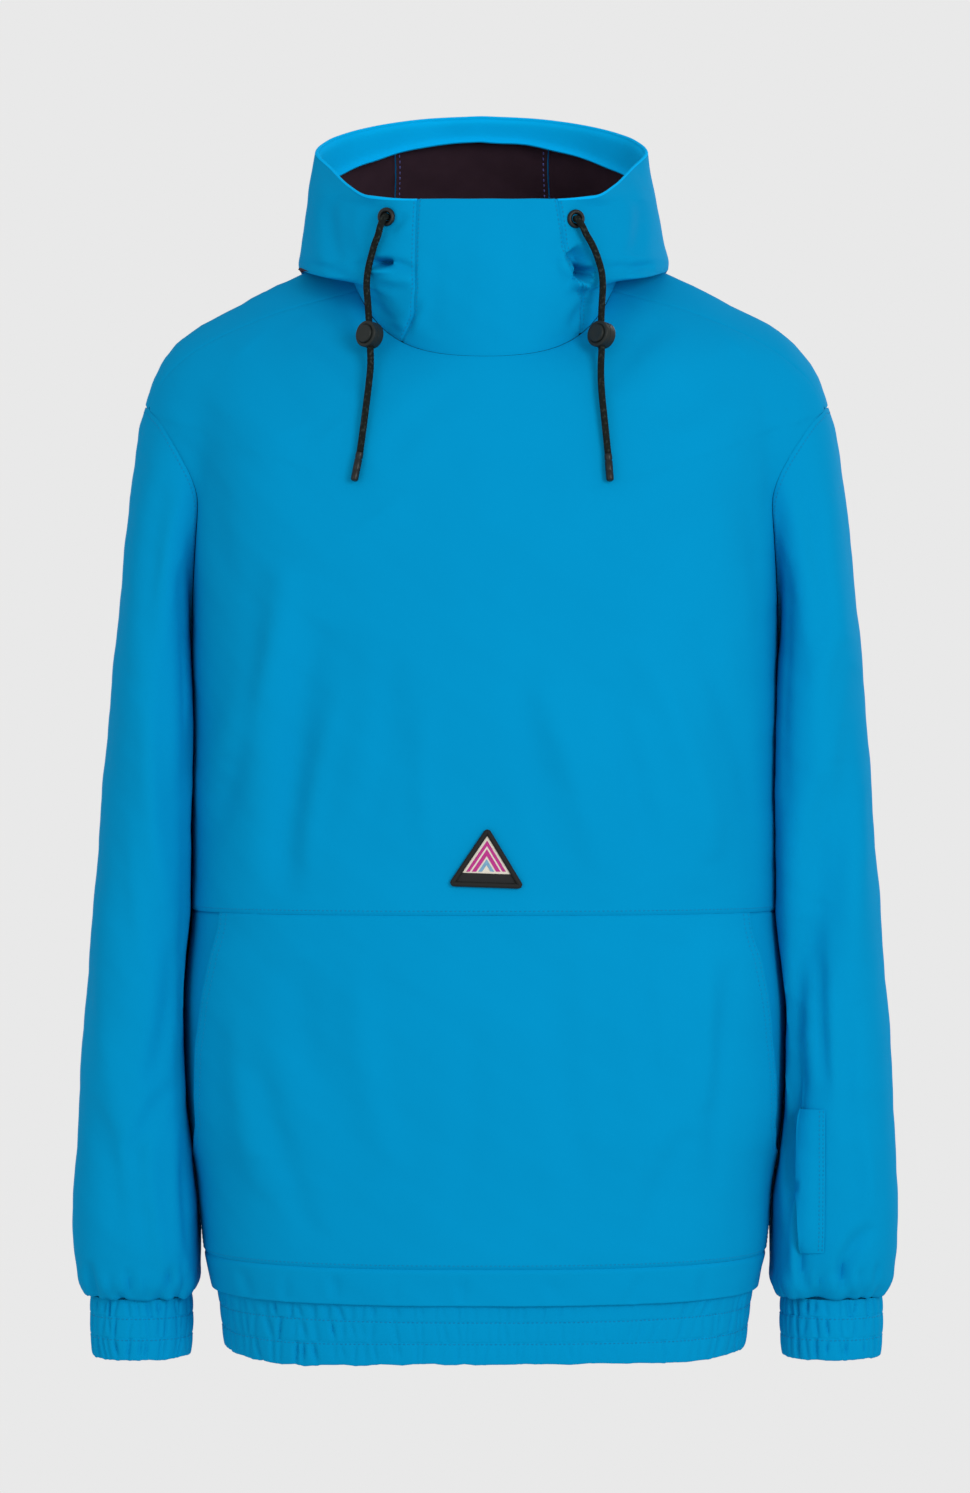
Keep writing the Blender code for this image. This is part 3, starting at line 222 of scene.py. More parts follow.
# The hood's slack below the rim: it falls outside the neck seam, folds and turns back up to it.
SLACK_COLUMNS = ("drop", "half_width", "side_z", "front_depth", "front_z", "back_depth", "back_z")
HOOD_SLACK = (
    (0.10, 0.1205, 0.0680, 0.0985, 0.0340, 0.1180, 0.1080),
    (0.23, 0.1235, 0.0480, 0.1010, 0.0220, 0.1450, 0.0760),
    (0.37, 0.1268, 0.0270, 0.1040, 0.0090, 0.1660, 0.0200),
    (0.50, 0.1294, 0.0140, 0.1065, -0.0030, 0.1760, -0.0560),
    (0.60, 0.1288, 0.0092, 0.1060, -0.0150, 0.1745, -0.1160),
    (0.68, 0.1235, 0.0098, 0.1030, -0.0185, 0.1660, -0.1420),
    (0.76, 0.1160, 0.0165, 0.0985, -0.0130, 0.1550, -0.1160),
    (0.88, 0.1050, 0.0260, 0.0960, -0.0350, 0.1290, -0.0240),
)
SLACK_STARTS, SLACK_FULL = 33.0, 60.0  # degrees round from the front centre
SLACK_FRONT_POWER = 1.2
SLACK_BACK_POWER = 2.4
CROWN_SEAM_LEFT, CROWN_SEAM_RIGHT = 156.0, 148.0
EYELET_WIRE = 0.0015
TIP_DIAMETER = 0.0052
LOCK_DIAMETER, LOCK_LENGTH = 0.0180, 0.0095
BUTTON_DIAMETER, BUTTON_PROUD = 0.0125, 0.0014
LOCK_FACES = (-0.656, -0.755, 0.0)  # both locks have turned the same way
CORD_STEP = 0.0005  # between the points of a cord's tube

# Each cord's centre line as x, y, z, from inside its eyelet to its tip. One point is its lock's centre.
RIGHT_CORD = (
    (-0.0663, -0.0896, 0.0352),
    (-0.0679, -0.0931, 0.0349),
    (-0.0693, -0.0950, 0.0325),
    (-0.0708, -0.0950, 0.0287),
    (-0.0724, -0.0933, 0.0229),
    (-0.0750, -0.0900, 0.0165),
    (-0.0768, -0.0874, 0.0106),
    (-0.0794, -0.0853, 0.0005),
    (-0.0805, -0.0858, -0.0104),
    (-0.0796, -0.0872, -0.0230),
    (-0.0788, -0.0892, -0.0353),
    (-0.0783, -0.0912, -0.0450),
    (-0.0778, -0.0932, -0.0547),
    (-0.0775, -0.0970, -0.0653),
    (-0.0785, -0.1037, -0.0792),
    (-0.0804, -0.1110, -0.0968),
    (-0.0822, -0.1152, -0.1120),
    (-0.0841, -0.1184, -0.1265),
)
LEFT_CORD = (
    (0.0610, -0.0894, 0.0339),
    (0.0625, -0.0927, 0.0336),
    (0.0642, -0.0946, 0.0312),
    (0.0662, -0.0947, 0.0280),
    (0.0684, -0.0930, 0.0236),
    (0.0730, -0.0897, 0.0161),
    (0.0772, -0.0862, 0.0061),
    (0.0794, -0.0852, -0.0019),
    (0.0801, -0.0858, -0.0114),
    (0.0795, -0.0873, -0.0230),
    (0.0789, -0.0893, -0.0353),
    (0.0790, -0.0914, -0.0450),
    (0.0791, -0.0935, -0.0547),
    (0.0786, -0.0974, -0.0640),
    (0.0784, -0.1008, -0.0724),
    (0.0789, -0.1073, -0.0865),
    (0.0802, -0.1122, -0.1011),
    (0.0815, -0.1160, -0.1148),
    (0.0827, -0.1190, -0.1277),
)
LOCK_POINT = 11  # which point of a route is the middle of its lock
RIGHT_TIP_END = (-0.0879, -0.1222, -0.1460)
LEFT_TIP_END = (0.0840, -0.1238, -0.1461)

# The badge's corners as seen from the front, as x and z: apex, wearer's right, wearer's left.
BADGE_CORNERS = ((0.0017, -0.3776), (-0.0253, -0.4176), (0.0268, -0.4194))
BADGE_BORDER = 0.0017  # half the width of the stitched border
BADGE_CORNER_RADIUS = 0.0009
BADGE_THICKNESS = 0.0012

# ---------------------------------------------------------------- curves, folds and normals


def columns(names, rows):
    """A table as one array for each named column."""
    return dict(zip(names, np.array(rows, float).T))


def smooth(keys, values, at):
    """A smooth curve through the values that never overshoots them, read at each place."""
    keys, values = np.asarray(keys, float), np.asarray(values, float)
    if keys[0] > keys[-1]:
        keys, values = keys[::-1], values[::-1]
    steps = np.diff(keys)
    slopes = np.diff(values, axis=0) / steps.reshape(-1, *[1] * (values.ndim - 1))
    same_way = slopes[:-1] * slopes[1:] > 0
    total = np.where(same_way, slopes[:-1] + slopes[1:], 1)
    middle = np.where(same_way, 2 * slopes[:-1] * slopes[1:] / total, 0)
    tangents = np.concatenate([slopes[:1], middle, slopes[-1:]])
    at = np.clip(np.asarray(at, float), keys[0], keys[-1])
    i = np.clip(np.searchsorted(keys, at, side="right") - 1, 0, len(steps) - 1)
    h = steps[i]
    t = (at - keys[i]) / h
    if values.ndim > 1:  # one column of values for each place, as on the hood
        start, end = values[i, np.arange(len(i))], values[i + 1, np.arange(len(i))]
        leave, arrive = tangents[i, np.arange(len(i))], tangents[i + 1, np.arange(len(i))]
    else:
        start, end, leave, arrive = values[i], values[i + 1], tangents[i], tangents[i + 1]
    first = start * (1 + 2 * t) * (1 - t) ** 2 + leave * h * t * (1 - t) ** 2
    return first + end * t**2 * (3 - 2 * t) - arrive * h * t**2 * (1 - t)


def ramp(low, high, at):
    """0 below low, 1 above high, and smooth between."""
    t = np.clip((at - low) / (high - low), 0, 1)
    return t * t * (3 - 2 * t)


def unit(vectors):
    return vectors / np.linalg.norm(vectors, axis=-1, keepdims=True)


def run_of(line):
    """How far along a line each of its points is."""
    return np.concatenate([[0], np.cumsum(np.linalg.norm(np.diff(line, axis=0), axis=1))])


def read_line(at, run, line):
    """A line's points at distances along it, where run has the distance of each point it is given by."""
    return np.stack([np.interp(at, run, line[:, axis]) for axis in range(line.shape[1])], axis=-1)


def normals_of(surface, angle, place):
    """Unit normals of a surface(angle, place), from small steps along it both ways."""
    turn, step = 0.25, 0.0005
    round_it = surface(angle + turn, place) - surface(angle - turn, place)
    along_it = surface(angle, place + step) - surface(angle, place - step)
    return unit(np.cross(round_it, along_it))


def pressed(folds, angle, level, radius):
    """How far the folds press the surface in at each point."""
    depth = np.zeros(np.shape(level))
    for row in folds:
        fold = dict(zip(FOLD_COLUMNS, row))
        across = np.radians((angle - fold["top_angle"] + 180) % 360 - 180) * radius
        down = fold["top_level"] - level
        end_across = math.radians(fold["bottom_angle"] - fold["top_angle"]) * radius
        end_down = fold["top_level"] - fold["bottom_level"]
        length = math.hypot(end_across, end_down)
        along = np.clip((across * end_across + down * end_down) / length**2, 0, 1)
        away = np.hypot(across - along * end_across, down - along * end_down)
        profile = np.exp(-((away / fold["half_width"]) ** 2)) * (4 * along * (1 - along)) ** 0.7
        depth = depth + fold["depth"] * profile
    return depth


# ---------------------------------------------------------------- the three outer surfaces

BODY = columns(BODY_COLUMNS, BODY_RINGS)
RIM = columns(RIM_COLUMNS, HOOD_RIM)
SLACK = columns(SLACK_COLUMNS, HOOD_SLACK)


def body_ring(level):
    """The body's ring at a level, or at each of many, by the names of its columns."""
    return {name: smooth(BODY["level"], BODY[name], level) for name in BODY_COLUMNS[1:]}


def body_point(angle, level):
    """The body's outer surface. level is the height at the side, and front and back dip from it."""
    ring = body_ring(level)
    sine, cosine = np.sin(np.radians(angle)), np.cos(np.radians(angle))
    in_front = cosine > 0
    depth = np.where(in_front, ring["front_depth"], ring["back_depth"])
    n = ring["squareness"]
    chest = ((np.abs(sine) / ring["half_width"]) ** n + (np.abs(cosine) / depth) ** n) ** (-1 / n)
    from_side = (np.abs((np.asarray(angle) + 180) % 360 - 180) - 90) / np.where(
        in_front, CAP_FRONT_SPREAD, CAP_BACK_SPREAD)
    cap = ring["cap_reach"] * np.exp(-(from_side**2))
    crease = ring["cap_crease"]
    reach = chest * (1 + (cap / chest) ** crease) ** (1 / crease)
    reach = reach - pressed(BODY_FOLDS, angle, level, BODY_RADIUS)
    forward = np.abs(cosine)
    dip = np.where(in_front,
                   ring["front_drop"] * forward * (1 + FRONT_FULLNESS * forward**2 * (1 - forward)),
                   ring["back_drop"] * forward**BACK_DROP_POWER)
    return np.stack([reach * sine, -reach * cosine, level - dip], axis=-1)


def body_side(y, level):
    """How far out the body's plain side is at a depth y, without the shoulder's bulge."""
    ring = body_ring(level)
    depth = np.where(y < 0, ring["front_depth"], ring["back_depth"])
    share = np.clip(np.abs(y) / depth, 0, 1) ** ring["squareness"]
    return ring["half_width"] * (1 - share) ** (1 / ring["squareness"])


def rim_point(angle):
    turned = (np.asarray(angle, float) + 180) % 360 - 180
    x, y, z = (smooth(RIM["angle"], RIM[name], np.abs(turned)) for name in "xyz")
    return np.stack([np.sign(turned) * x + RIM_SHIFT, y, z], axis=-1)


def hood_point(angle, drop):
    """The hood's outer surface. drop runs from 0 at the rim to 1 at the neck seam."""
    angle, drop = np.broadcast_arrays(np.asarray(angle, float), np.asarray(drop, float))
    shape = angle.shape
    angle, drop = angle.ravel(), drop.ravel()
    rim, seam = rim_point(angle), body_point(angle, np.full(angle.shape, NECK_LEVEL))
    share = drop[:, None]
    bow = 0.005 * np.sin(math.pi * share) * unit(seam * [1, 1, 0])
    collar = rim + (seam - rim) * share + bow
    sine, cosine = np.sin(np.radians(angle)), np.cos(np.radians(angle))
    in_front = cosine > 0
    front_dip = np.abs(cosine) ** SLACK_FRONT_POWER
    back_dip = np.abs(cosine) ** SLACK_BACK_POWER
    rings = [rim]
    for row in HOOD_SLACK:
        ring = dict(zip(SLACK_COLUMNS, row))
        depth = np.where(in_front, ring["front_depth"], ring["back_depth"])
        height = ring["side_z"] + np.where(in_front, (ring["front_z"] - ring["side_z"]) * front_dip,
                                           (ring["back_z"] - ring["side_z"]) * back_dip)
        shift = RIM_SHIFT * (1 - ring["drop"])
        rings.append(np.stack([ring["half_width"] * sine + shift, -depth * cosine, height], axis=-1))
    rings.append(seam)
    rings = np.stack(rings)
    keys = np.concatenate([[0], SLACK["drop"], [1]])
    slack = np.stack([smooth(keys, rings[..., axis], drop) for axis in range(3)], axis=-1)
    around = np.abs((angle + 180) % 360 - 180)
    k = ramp(SLACK_STARTS, SLACK_FULL, around)[:, None]
    return (collar * (1 - k) + slack * k).reshape(*shape, 3)


def clear_of_body(rings):
    """The sleeve's rings, moved out to lie against the body where they would be inside it."""
    side = body_side(rings[..., 1], rings[..., 2]) + SLEEVE_CLEARANCE
    moved = rings.copy()
    moved[1:, :, 0] = np.maximum(rings[..., 0], side)[1:]
    return moved


# ---------------------------------------------------------------- camera and light


def make_camera():
    data = bpy.data.cameras.new("camera")
    data.sensor_fit = "VERTICAL"
    data.sensor_height = SENSOR
    data.lens = SENSOR * CAMERA_DISTANCE / (PHOTO_HEIGHT * PIXEL)
    camera = bpy.data.objects.new("camera", data)
    camera.location = (0, -CAMERA_DISTANCE, CAMERA_HEIGHT)
    camera.rotation_euler = (math.pi / 2, 0, 0)
    bpy.context.scene.collection.objects.link(camera)
    bpy.context.scene.camera = camera


def soft_light(name, place, aim, size, power, colour=(1, 1, 1)):
    data = bpy.data.lights.new(name, "AREA")
    data.shape = "RECTANGLE"
    data.size, data.size_y = size
    data.energy = power
    data.color = colour
    lamp = bpy.data.objects.new(name, data)
    lamp.location = place
    lamp.rotation_euler = (Vector(aim) - Vector(place)).to_track_quat("-Z", "Y").to_euler()
    bpy.context.scene.collection.objects.link(lamp)


def dim_walls(tree, glow):
    """Lets the pale room give the jacket less light than the camera sees in it."""
    path = tree.nodes.new("ShaderNodeLightPath")
    strength = tree.nodes.new("ShaderNodeMapRange")
    strength.inputs["To Min"].default_value = WALL_LIGHT
    strength.inputs["To Max"].default_value = 1.0
    tree.links.new(path.outputs["Is Camera Ray"], strength.inputs["Value"])
    tree.links.new(strength.outputs["Result"], glow.inputs["Strength"])


def make_studio():
    world = bpy.data.worlds.new("studio")
    bpy.context.scene.world = world
    world.use_nodes = True
    sky = world.node_tree.nodes["Background"]
    sky.inputs["Color"].default_value = (BACKGROUND, BACKGROUND, BACKGROUND, 1)
    dim_walls(world.node_tree, sky)
    soft_light("key", (1.5, -2.6, 0.35), (0, 0, -0.35), (1.2, 1.2), KEY_POWER)
    soft_light("fill", (-1.6, -2.4, 0.0), (0, 0, -0.35), (1.4, 2.0), FILL_POWER)
    soft_light("back", (1.9, 2.6, 0.9), (0, 0, -0.3), (1.2, 1.2), BACK_POWER)
    bpy.ops.mesh.primitive_plane_add(size=14, location=(0, 0, FLOOR_LEVEL))
    floor = bpy.context.object
    floor.name = "floor"
    paint = bpy.data.materials.new("pale_floor")
    paint.use_nodes = True
    paint.node_tree.nodes.clear()
    glow = paint.node_tree.nodes.new("ShaderNodeEmission")
    glow.inputs["Color"].default_value = (BACKGROUND, BACKGROUND, BACKGROUND, 1)
    dim_walls(paint.node_tree, glow)
    out = paint.node_tree.nodes.new("ShaderNodeOutputMaterial")
    paint.node_tree.links.new(glow.outputs[0], out.inputs["Surface"])
    floor.data.materials.append(paint)
    view = bpy.context.scene.view_settings
    view.view_transform = "Standard"
    view.look = "None"

# ---------------------------------------------------------------- materials


class Paint:
    """A material's nodes, added and linked by short calls."""

    def __init__(self, name, roughness, **fixed):
        self.made = bpy.data.materials.new(name)
        self.made.use_nodes = True
        self.tree = self.made.node_tree
        self.shader = self.tree.nodes["Principled BSDF"]
        self.set("Roughness", roughness)
        for socket, value in fixed.items():
            self.set(socket.replace("_", " "), value)

    def set(self, socket, value):
        if hasattr(value, "is_output"):
            self.tree.links.new(value, self.shader.inputs[socket])
        else:
            self.shader.inputs[socket].default_value = value

    def node(self, kind, inputs=(), **settings):
        made = self.tree.nodes.new("ShaderNode" + kind)
        for key, value in settings.items():
            setattr(made, key, value)
        for key, value in dict(inputs).items():
            if hasattr(value, "is_output"):
                self.tree.links.new(value, made.inputs[key])
            else:
                made.inputs[key].default_value = value
        return made

    def uv(self):
        return self.node("UVMap", uv_map="cloth").outputs["UV"]

    def object_place(self):
        return self.node("TexCoord").outputs["Object"]

    def noise(self, place, scale, detail=3.0, roughness=0.5):
        return self.node("TexNoise", {"Vector": place, "Scale": scale, "Detail": detail,
                                      "Roughness": roughness}).outputs["Fac"]

    def bands(self, place, across, period, **inputs):
        """Rounded bands a period apart in metres, running across X or Y of a place."""
        return self.node("TexWave", {"Vector": place, "Scale": math.pi / (10 * period), **inputs},
                         wave_type="BANDS", bands_direction=across, wave_profile="SIN").outputs["Fac"]

    def maths(self, operation, *values, clamp=False):
        return self.node("Math", dict(enumerate(values)), operation=operation, use_clamp=clamp).outputs[0]

    def between(self, share, low, high):
        """A value that runs from low to high with a share of 0 to 1."""
        return self.node("MapRange", {"Value": share, "To Min": low, "To Max": high}).outputs["Result"]

    def mixed(self, share, one, other):
        mix = self.node("Mix", data_type="RGBA")
        for socket, value in ((mix.inputs["Factor"], share), (mix.inputs[6], one), (mix.inputs[7], other)):
            if hasattr(value, "is_output"):
                self.tree.links.new(value, socket)
            else:
                socket.default_value = value if isinstance(value, float) else (*value, 1)
        return mix.outputs[2]

    def bump(self, *layers):
        """Bumps on each other: each layer is a height socket and its depth in metres."""
        normal = None
        for height, depth in layers:
            bump = self.node("Bump", {"Height": height, "Distance": depth, "Strength": 1.0})
            if normal:
                self.tree.links.new(normal, bump.inputs["Normal"])
            normal = bump.outputs["Normal"]
        self.tree.links.new(normal, self.shader.inputs["Normal"])


SHELL_LIGHT = (0.0003, 0.310, 0.625)
SHELL_DEEP = (0.0003, 0.274, 0.560)


def darker(colour, share):
    return tuple(channel * share for channel in colour)


def shell_material():
    """The outer face: a matte, tightly woven stretch cloth."""
    paint = Paint("shell_cloth", 0.85, Specular_IOR_Level=0.02)
    place = paint.uv()
    across = paint.bands(place, "X", 0.0007, Distortion=2.0)
    down = paint.bands(place, "Y", 0.0007, Distortion=2.0)
    weave = paint.maths("MULTIPLY", across, down)
    cloud = paint.noise(place, 9.0, 2.0)
    fibre = paint.noise(place, 2600.0, 2.0, 0.7)
    tone = paint.maths("MULTIPLY_ADD", cloud, 0.75, paint.maths("MULTIPLY", fibre, 0.25))
    paint.set("Base Color", paint.mixed(tone, SHELL_DEEP, SHELL_LIGHT))
    paint.set("Roughness", paint.between(weave, 0.80, 0.90))
    paint.bump((weave, 0.00003), (fibre, 0.00004))
    return paint.made


def lit_facing_material():
    """The turned-in hem: the shell cloth made lighter, a painted highlight for the light that falls inside
    the neck.
    """
    paint = Paint("facing_cloth", 0.85, Specular_IOR_Level=0.02)
    fibre = paint.noise(paint.uv(), 2600.0, 2.0, 0.7)
    paint.set("Base Color", paint.mixed(fibre, (0.0004, 0.43, 0.88), (0.0004, 0.47, 0.95)))
    paint.bump((fibre, 0.00004))
    return paint.made


def fleece_material():
    """The bonded back: short plum fleece."""
    paint = Paint("fleece_back", 0.95, Specular_IOR_Level=0.04, Sheen_Weight=0.12, Sheen_Roughness=0.6,
                  Sheen_Tint=(0.34, 0.21, 0.26, 1))
    place = paint.uv()
    pile = paint.noise(place, 1400.0, 4.0, 0.75)
    cloud = paint.noise(place, 60.0, 3.0)
    tone = paint.maths("MULTIPLY_ADD", pile, 0.6, paint.maths("MULTIPLY", cloud, 0.4))
    paint.set("Base Color", paint.mixed(tone, (0.026, 0.013, 0.020), (0.068, 0.037, 0.053)))
    paint.bump((cloud, 0.0003), (pile, 0.0002))
    return paint.made


# Threads, and also the dark tube that paints the shadow in the welt's pocket mouth.
def thread_and_shadow_material(name, colour):
    paint = Paint(name, 0.7, Specular_IOR_Level=0.2)
    place = paint.object_place()
    strand = paint.noise(place, 3000.0, 2.0)
    paint.set("Base Color", paint.mixed(strand, darker(colour, 0.8), colour))
    paint.bump((strand, 0.00005))
    return paint.made


def cord_material():
    """The drawcord's braid: dark strands crossing, with a paler fleck in some of them."""
    paint = Paint("cord_weave", 0.85, Specular_IOR_Level=0.08)
    place = paint.uv()
    fibre = paint.noise(place, 1800.0, 3.0, 0.7)
    fleck = paint.noise(place, 420.0, 1.0)
    pale = paint.node("MapRange", {"Value": fleck, "From Min": 0.52, "From Max": 0.72}).outputs["Result"]
    paint.set("Base Color", paint.mixed(pale, (0.009, 0.012, 0.011), (0.032, 0.041, 0.037)))
    paint.bump((fibre, 0.00012))
    return paint.made


def plastic_material():
    """Moulded black plastic with a faint orange-peel and fine scuffs."""
    paint = Paint("black_plastic", 0.48, Specular_IOR_Level=0.28)
    place = paint.object_place()
    peel = paint.noise(place, 900.0, 2.0)
    scuff = paint.noise(place, 220.0, 5.0, 0.75)
    paint.set("Base Color", paint.mixed(scuff, (0.009, 0.012, 0.011), (0.017, 0.022, 0.020)))
    paint.set("Roughness", paint.between(scuff, 0.38, 0.60))
    paint.bump((peel, 0.00004))
    return paint.made


def metal_material():
    """Black-painted metal, with the paint thin where it rubs."""
    paint = Paint("black_metal", 0.35, Metallic=0.55, Specular_IOR_Level=0.5)
    place = paint.object_place()
    wear = paint.noise(place, 300.0, 6.0, 0.8)
    edge = paint.node("MapRange", {"Value": wear, "From Min": 0.60, "From Max": 0.74}).outputs["Result"]
    paint.set("Base Color", paint.mixed(edge, (0.016, 0.018, 0.018), (0.10, 0.10, 0.095)))
    paint.set("Roughness", paint.between(wear, 0.28, 0.50))
    paint.bump((wear, 0.00003))
    return paint.made


def satin_material(name, colour, across):
    """Satin stitch: close parallel threads in one colour."""
    paint = Paint(name, 0.6, Specular_IOR_Level=0.3, Sheen_Weight=0.05)
    place = paint.uv()
    threads = paint.bands(place, across, 0.0004, Distortion=1.5)
    paint.set("Base Color", paint.mixed(threads, darker(colour, 0.72), colour))
    paint.bump((threads, 0.00016))
    return paint.made


def twill_material(name, colour):
    """The badge's ground: a woven twill."""
    paint = Paint(name, 0.75, Specular_IOR_Level=0.2)
    place = paint.uv()
    twill = paint.bands(place, "DIAGONAL", 0.0007)
    paint.set("Base Color", paint.mixed(twill, darker(colour, 0.86), colour))
    paint.bump((twill, 0.00010))
    return paint.made


SHELL_CLOTH = shell_material()
# The facing's lighter blue is painted light: a lit copy of the shell cloth.
FACING_PAINTED_LIGHT = lit_facing_material()
FLEECE_BACK = fleece_material()
SHELL_THREAD = thread_and_shadow_material("shell_thread", (0.0005, 0.25, 0.52))
# A dark blue for the tube along the welt's open edge: painted shadow in the pocket's mouth, not a thread.
MOUTH_SHADE = thread_and_shadow_material("mouth_edge", (0.0004, 0.050, 0.12))
INNER_THREAD = thread_and_shadow_material("inner_thread", (0.20, 0.21, 0.62))
BLACK_THREAD = thread_and_shadow_material("black_thread", (0.016, 0.017, 0.017))
CORD_WEAVE = cord_material()
BLACK_PLASTIC = plastic_material()
BLACK_METAL = metal_material()
BADGE_GROUND = twill_material("badge_field", (0.83, 0.78, 0.67))
BADGE_BASE = twill_material("badge_base", (0.020, 0.021, 0.022))
PINK_SATIN = satin_material("pink_satin", (0.72, 0.045, 0.36), "X")
BLUE_SATIN = satin_material("blue_satin", (0.28, 0.55, 0.80), "X")

# ---------------------------------------------------------------- cloth sheets

# How far from a sewn edge a grid's first lines lie.
EDGE_LINES = (0.0, 0.0006, 0.0012, 0.0020, 0.0032, 0.0050)
ROLL_DEPTH, ROLL_WIDTH = 0.0010, 0.0013  # how the cloth turns in at a seam
FLAT_ROLL = 0.25  # share of that depth at the seams that are pressed flat
STEP = 0.0034  # between a grid's lines

GRIDS = {}  # each piece's points and normals, for the stitches on it


def shares(length, step=STEP):
    """Shares of the way along a stretch of cloth: even steps, and close lines beside both ends."""
    near = np.array(EDGE_LINES) / length
    middle = np.linspace(near[-1], 1 - near[-1], max(2, round((1 - 2 * near[-1]) * length / step)) + 1)
    return np.concatenate([near[:-1], middle, 1 - near[-2::-1]])


def runs(points):
    """Distance along each row, and down each column, of a grid of points."""
    across = np.linalg.norm(np.diff(points, axis=1), axis=-1)
    down = np.linalg.norm(np.diff(points, axis=0), axis=-1)
    zero_column, zero_row = np.zeros((len(points), 1)), np.zeros((1, points.shape[1]))
    return (np.hstack([zero_column, np.cumsum(across, axis=1)]),
            np.vstack([zero_row, np.cumsum(down, axis=0)]))


def grid_normals(points, tube):
    """Outward normals of a grid with its rows down and its columns to the right from outside."""
    down = np.gradient(points, axis=0)
    if tube:
        ring = points[:, :-1]
        across = np.roll(ring, -1, 1) - np.roll(ring, 1, 1)
        across = np.concatenate([across, across[:, :1]], axis=1)
    else:
        across = np.gradient(points, axis=1)
    return unit(np.cross(down, across))


def rolled(points, sides="tblr", flat=""):
    """How far the cloth turns in beside its sewn edges: top, bottom, left, right."""
    across, down = runs(points)
    depth = np.zeros(points.shape[:2])
    for side, away in (("t", down), ("b", down[-1:] - down), ("l", across), ("r", across[:, -1:] - across)):
        if side in sides:
            share = FLAT_ROLL if side in flat else 1.0
            depth += ROLL_DEPTH * share * np.exp(-((away / ROLL_WIDTH) ** 2))
    return depth


def stands_for(node):
    """The made piece takes a CAD node's place: that node is hidden."""
    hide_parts(node)


def grid_piece(name, points, places, thickness, finishes, weld=None):
    """A grid of points made into a piece of a thickness, face outwards. Rows run down. places are
    its UVs, and the last of its finishes is its back's. Points closer than weld become one."""
    rows, count = points.shape[:2]
    bpy.ops.object.select_all(action="DESELECT")
    bpy.ops.mesh.primitive_grid_add(x_subdivisions=count - 1, y_subdivisions=rows - 1, size=1)
    made = bpy.context.object
    mesh = made.data
    made.name = mesh.name = name
    mesh.vertices.foreach_set("co", points[::-1].ravel())
    corners = np.empty(len(mesh.loops), int)
    mesh.loops.foreach_get("vertex_index", corners)
    mesh.uv_layers.active.name = "cloth"
    mesh.uv_layers["cloth"].data.foreach_set("uv", places[::-1].reshape(-1, 2)[corners].ravel())
    mesh.update()
    if weld:
        bpy.ops.object.mode_set(mode="EDIT")
        bpy.ops.mesh.select_all(action="SELECT")
        bpy.ops.mesh.remove_doubles(threshold=weld)
        bpy.ops.object.mode_set(mode="OBJECT")
    for finish in finishes:
        mesh.materials.append(finish)
    wall = made.modifiers.new("thickness", "SOLIDIFY")
    wall.thickness, wall.offset, wall.material_offset = thickness, -1, len(finishes) - 1
    bpy.ops.object.modifier_apply(modifier="thickness")
    mesh.shade_smooth()
    mesh.set_sharp_from_angle(angle=math.radians(50))
    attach(made, "root")
    return made


def cloth_sheet(name, points, normals, thickness=CLOTH, tube=False, face=SHELL_CLOTH, back=FLEECE_BACK):
    """A sewn piece's cloth, from a grid of points on its outer face."""
    GRIDS[name] = (points, normals)
    across, down = runs(points)
    places = np.stack([across - across[:, -1:] / 2, -down], axis=-1)
    made = grid_piece(name + "_cloth", points, places, thickness, (face, back), 1e-5 if tube else None)
    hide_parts(name)
    return made


# ---------------------------------------------------------------- creases

# Creases as they are seen, in pixels of the photograph: from the front, or from behind with the
# same scale. A depth in millimetres above 0 is a trough, and below 0 a ridge.
CREASE_COLUMNS = ("x0", "y0", "x1", "y1", "bow", "half_width", "depth")


def seen_at(points, from_behind=False):
    """Where points are in a straight view, in the photograph's pixels."""
    turn = -1 if from_behind else 1
    scale = PIXEL * (CAMERA_DISTANCE + turn * points[..., 1]) / CAMERA_DISTANCE
    return (PHOTO_WIDTH / 2 + turn * points[..., 0] / scale,
            PHOTO_HEIGHT / 2 - (points[..., 2] - CAMERA_HEIGHT) / scale)


def creased(points, normals, table, from_behind=False):
    """How far a table of creases presses each point in, where the cloth faces the view."""
    x, y = seen_at(points, from_behind)
    facing = ramp(0.05, 0.6, normals[..., 1] * (1 if from_behind else -1))
    depth = np.zeros(points.shape[:2])
    for row in table:
        crease = dict(zip(CREASE_COLUMNS, row))
        run = np.array([crease["x1"] - crease["x0"], crease["y1"] - crease["y0"]], float)
        length = np.hypot(*run)
        along = ((x - crease["x0"]) * run[0] + (y - crease["y0"]) * run[1]) / length**2
        aside = ((y - crease["y0"]) * run[0] - (x - crease["x0"]) * run[1]) / length
        share = np.clip(along, 0, 1)
        aside = aside - crease["bow"] * 4 * share * (1 - share)
        past = np.maximum(np.abs(along - 0.5) - 0.5, 0) * length
        away = np.hypot(aside, past) / crease["half_width"]
        fade = (4 * share * (1 - share)) ** 0.6
        lip = 0.35 * np.exp(-(((aside / crease["half_width"]) - 1.9) ** 2))
        depth += crease["depth"] / 1000 * fade * (np.exp(-(away**2)) - lip)
    return depth * facing


def uneven(points, size=0.0005, seed=0):
    """Slow small waves that keep a cloth surface from looking machined."""
    x, y, z = points[..., 0], points[..., 1], points[..., 2]
    waves = (np.sin(71 * z + 23 * x + seed) * np.sin(47 * x - 31 * y + 2 * seed)
             + 0.7 * np.sin(113 * z - 61 * y + 3 * seed) * np.sin(89 * x + 41 * z + seed)
             + 0.4 * np.sin(211 * x + 157 * z + 5 * seed) * np.sin(173 * y - 139 * z))
    return waves * size


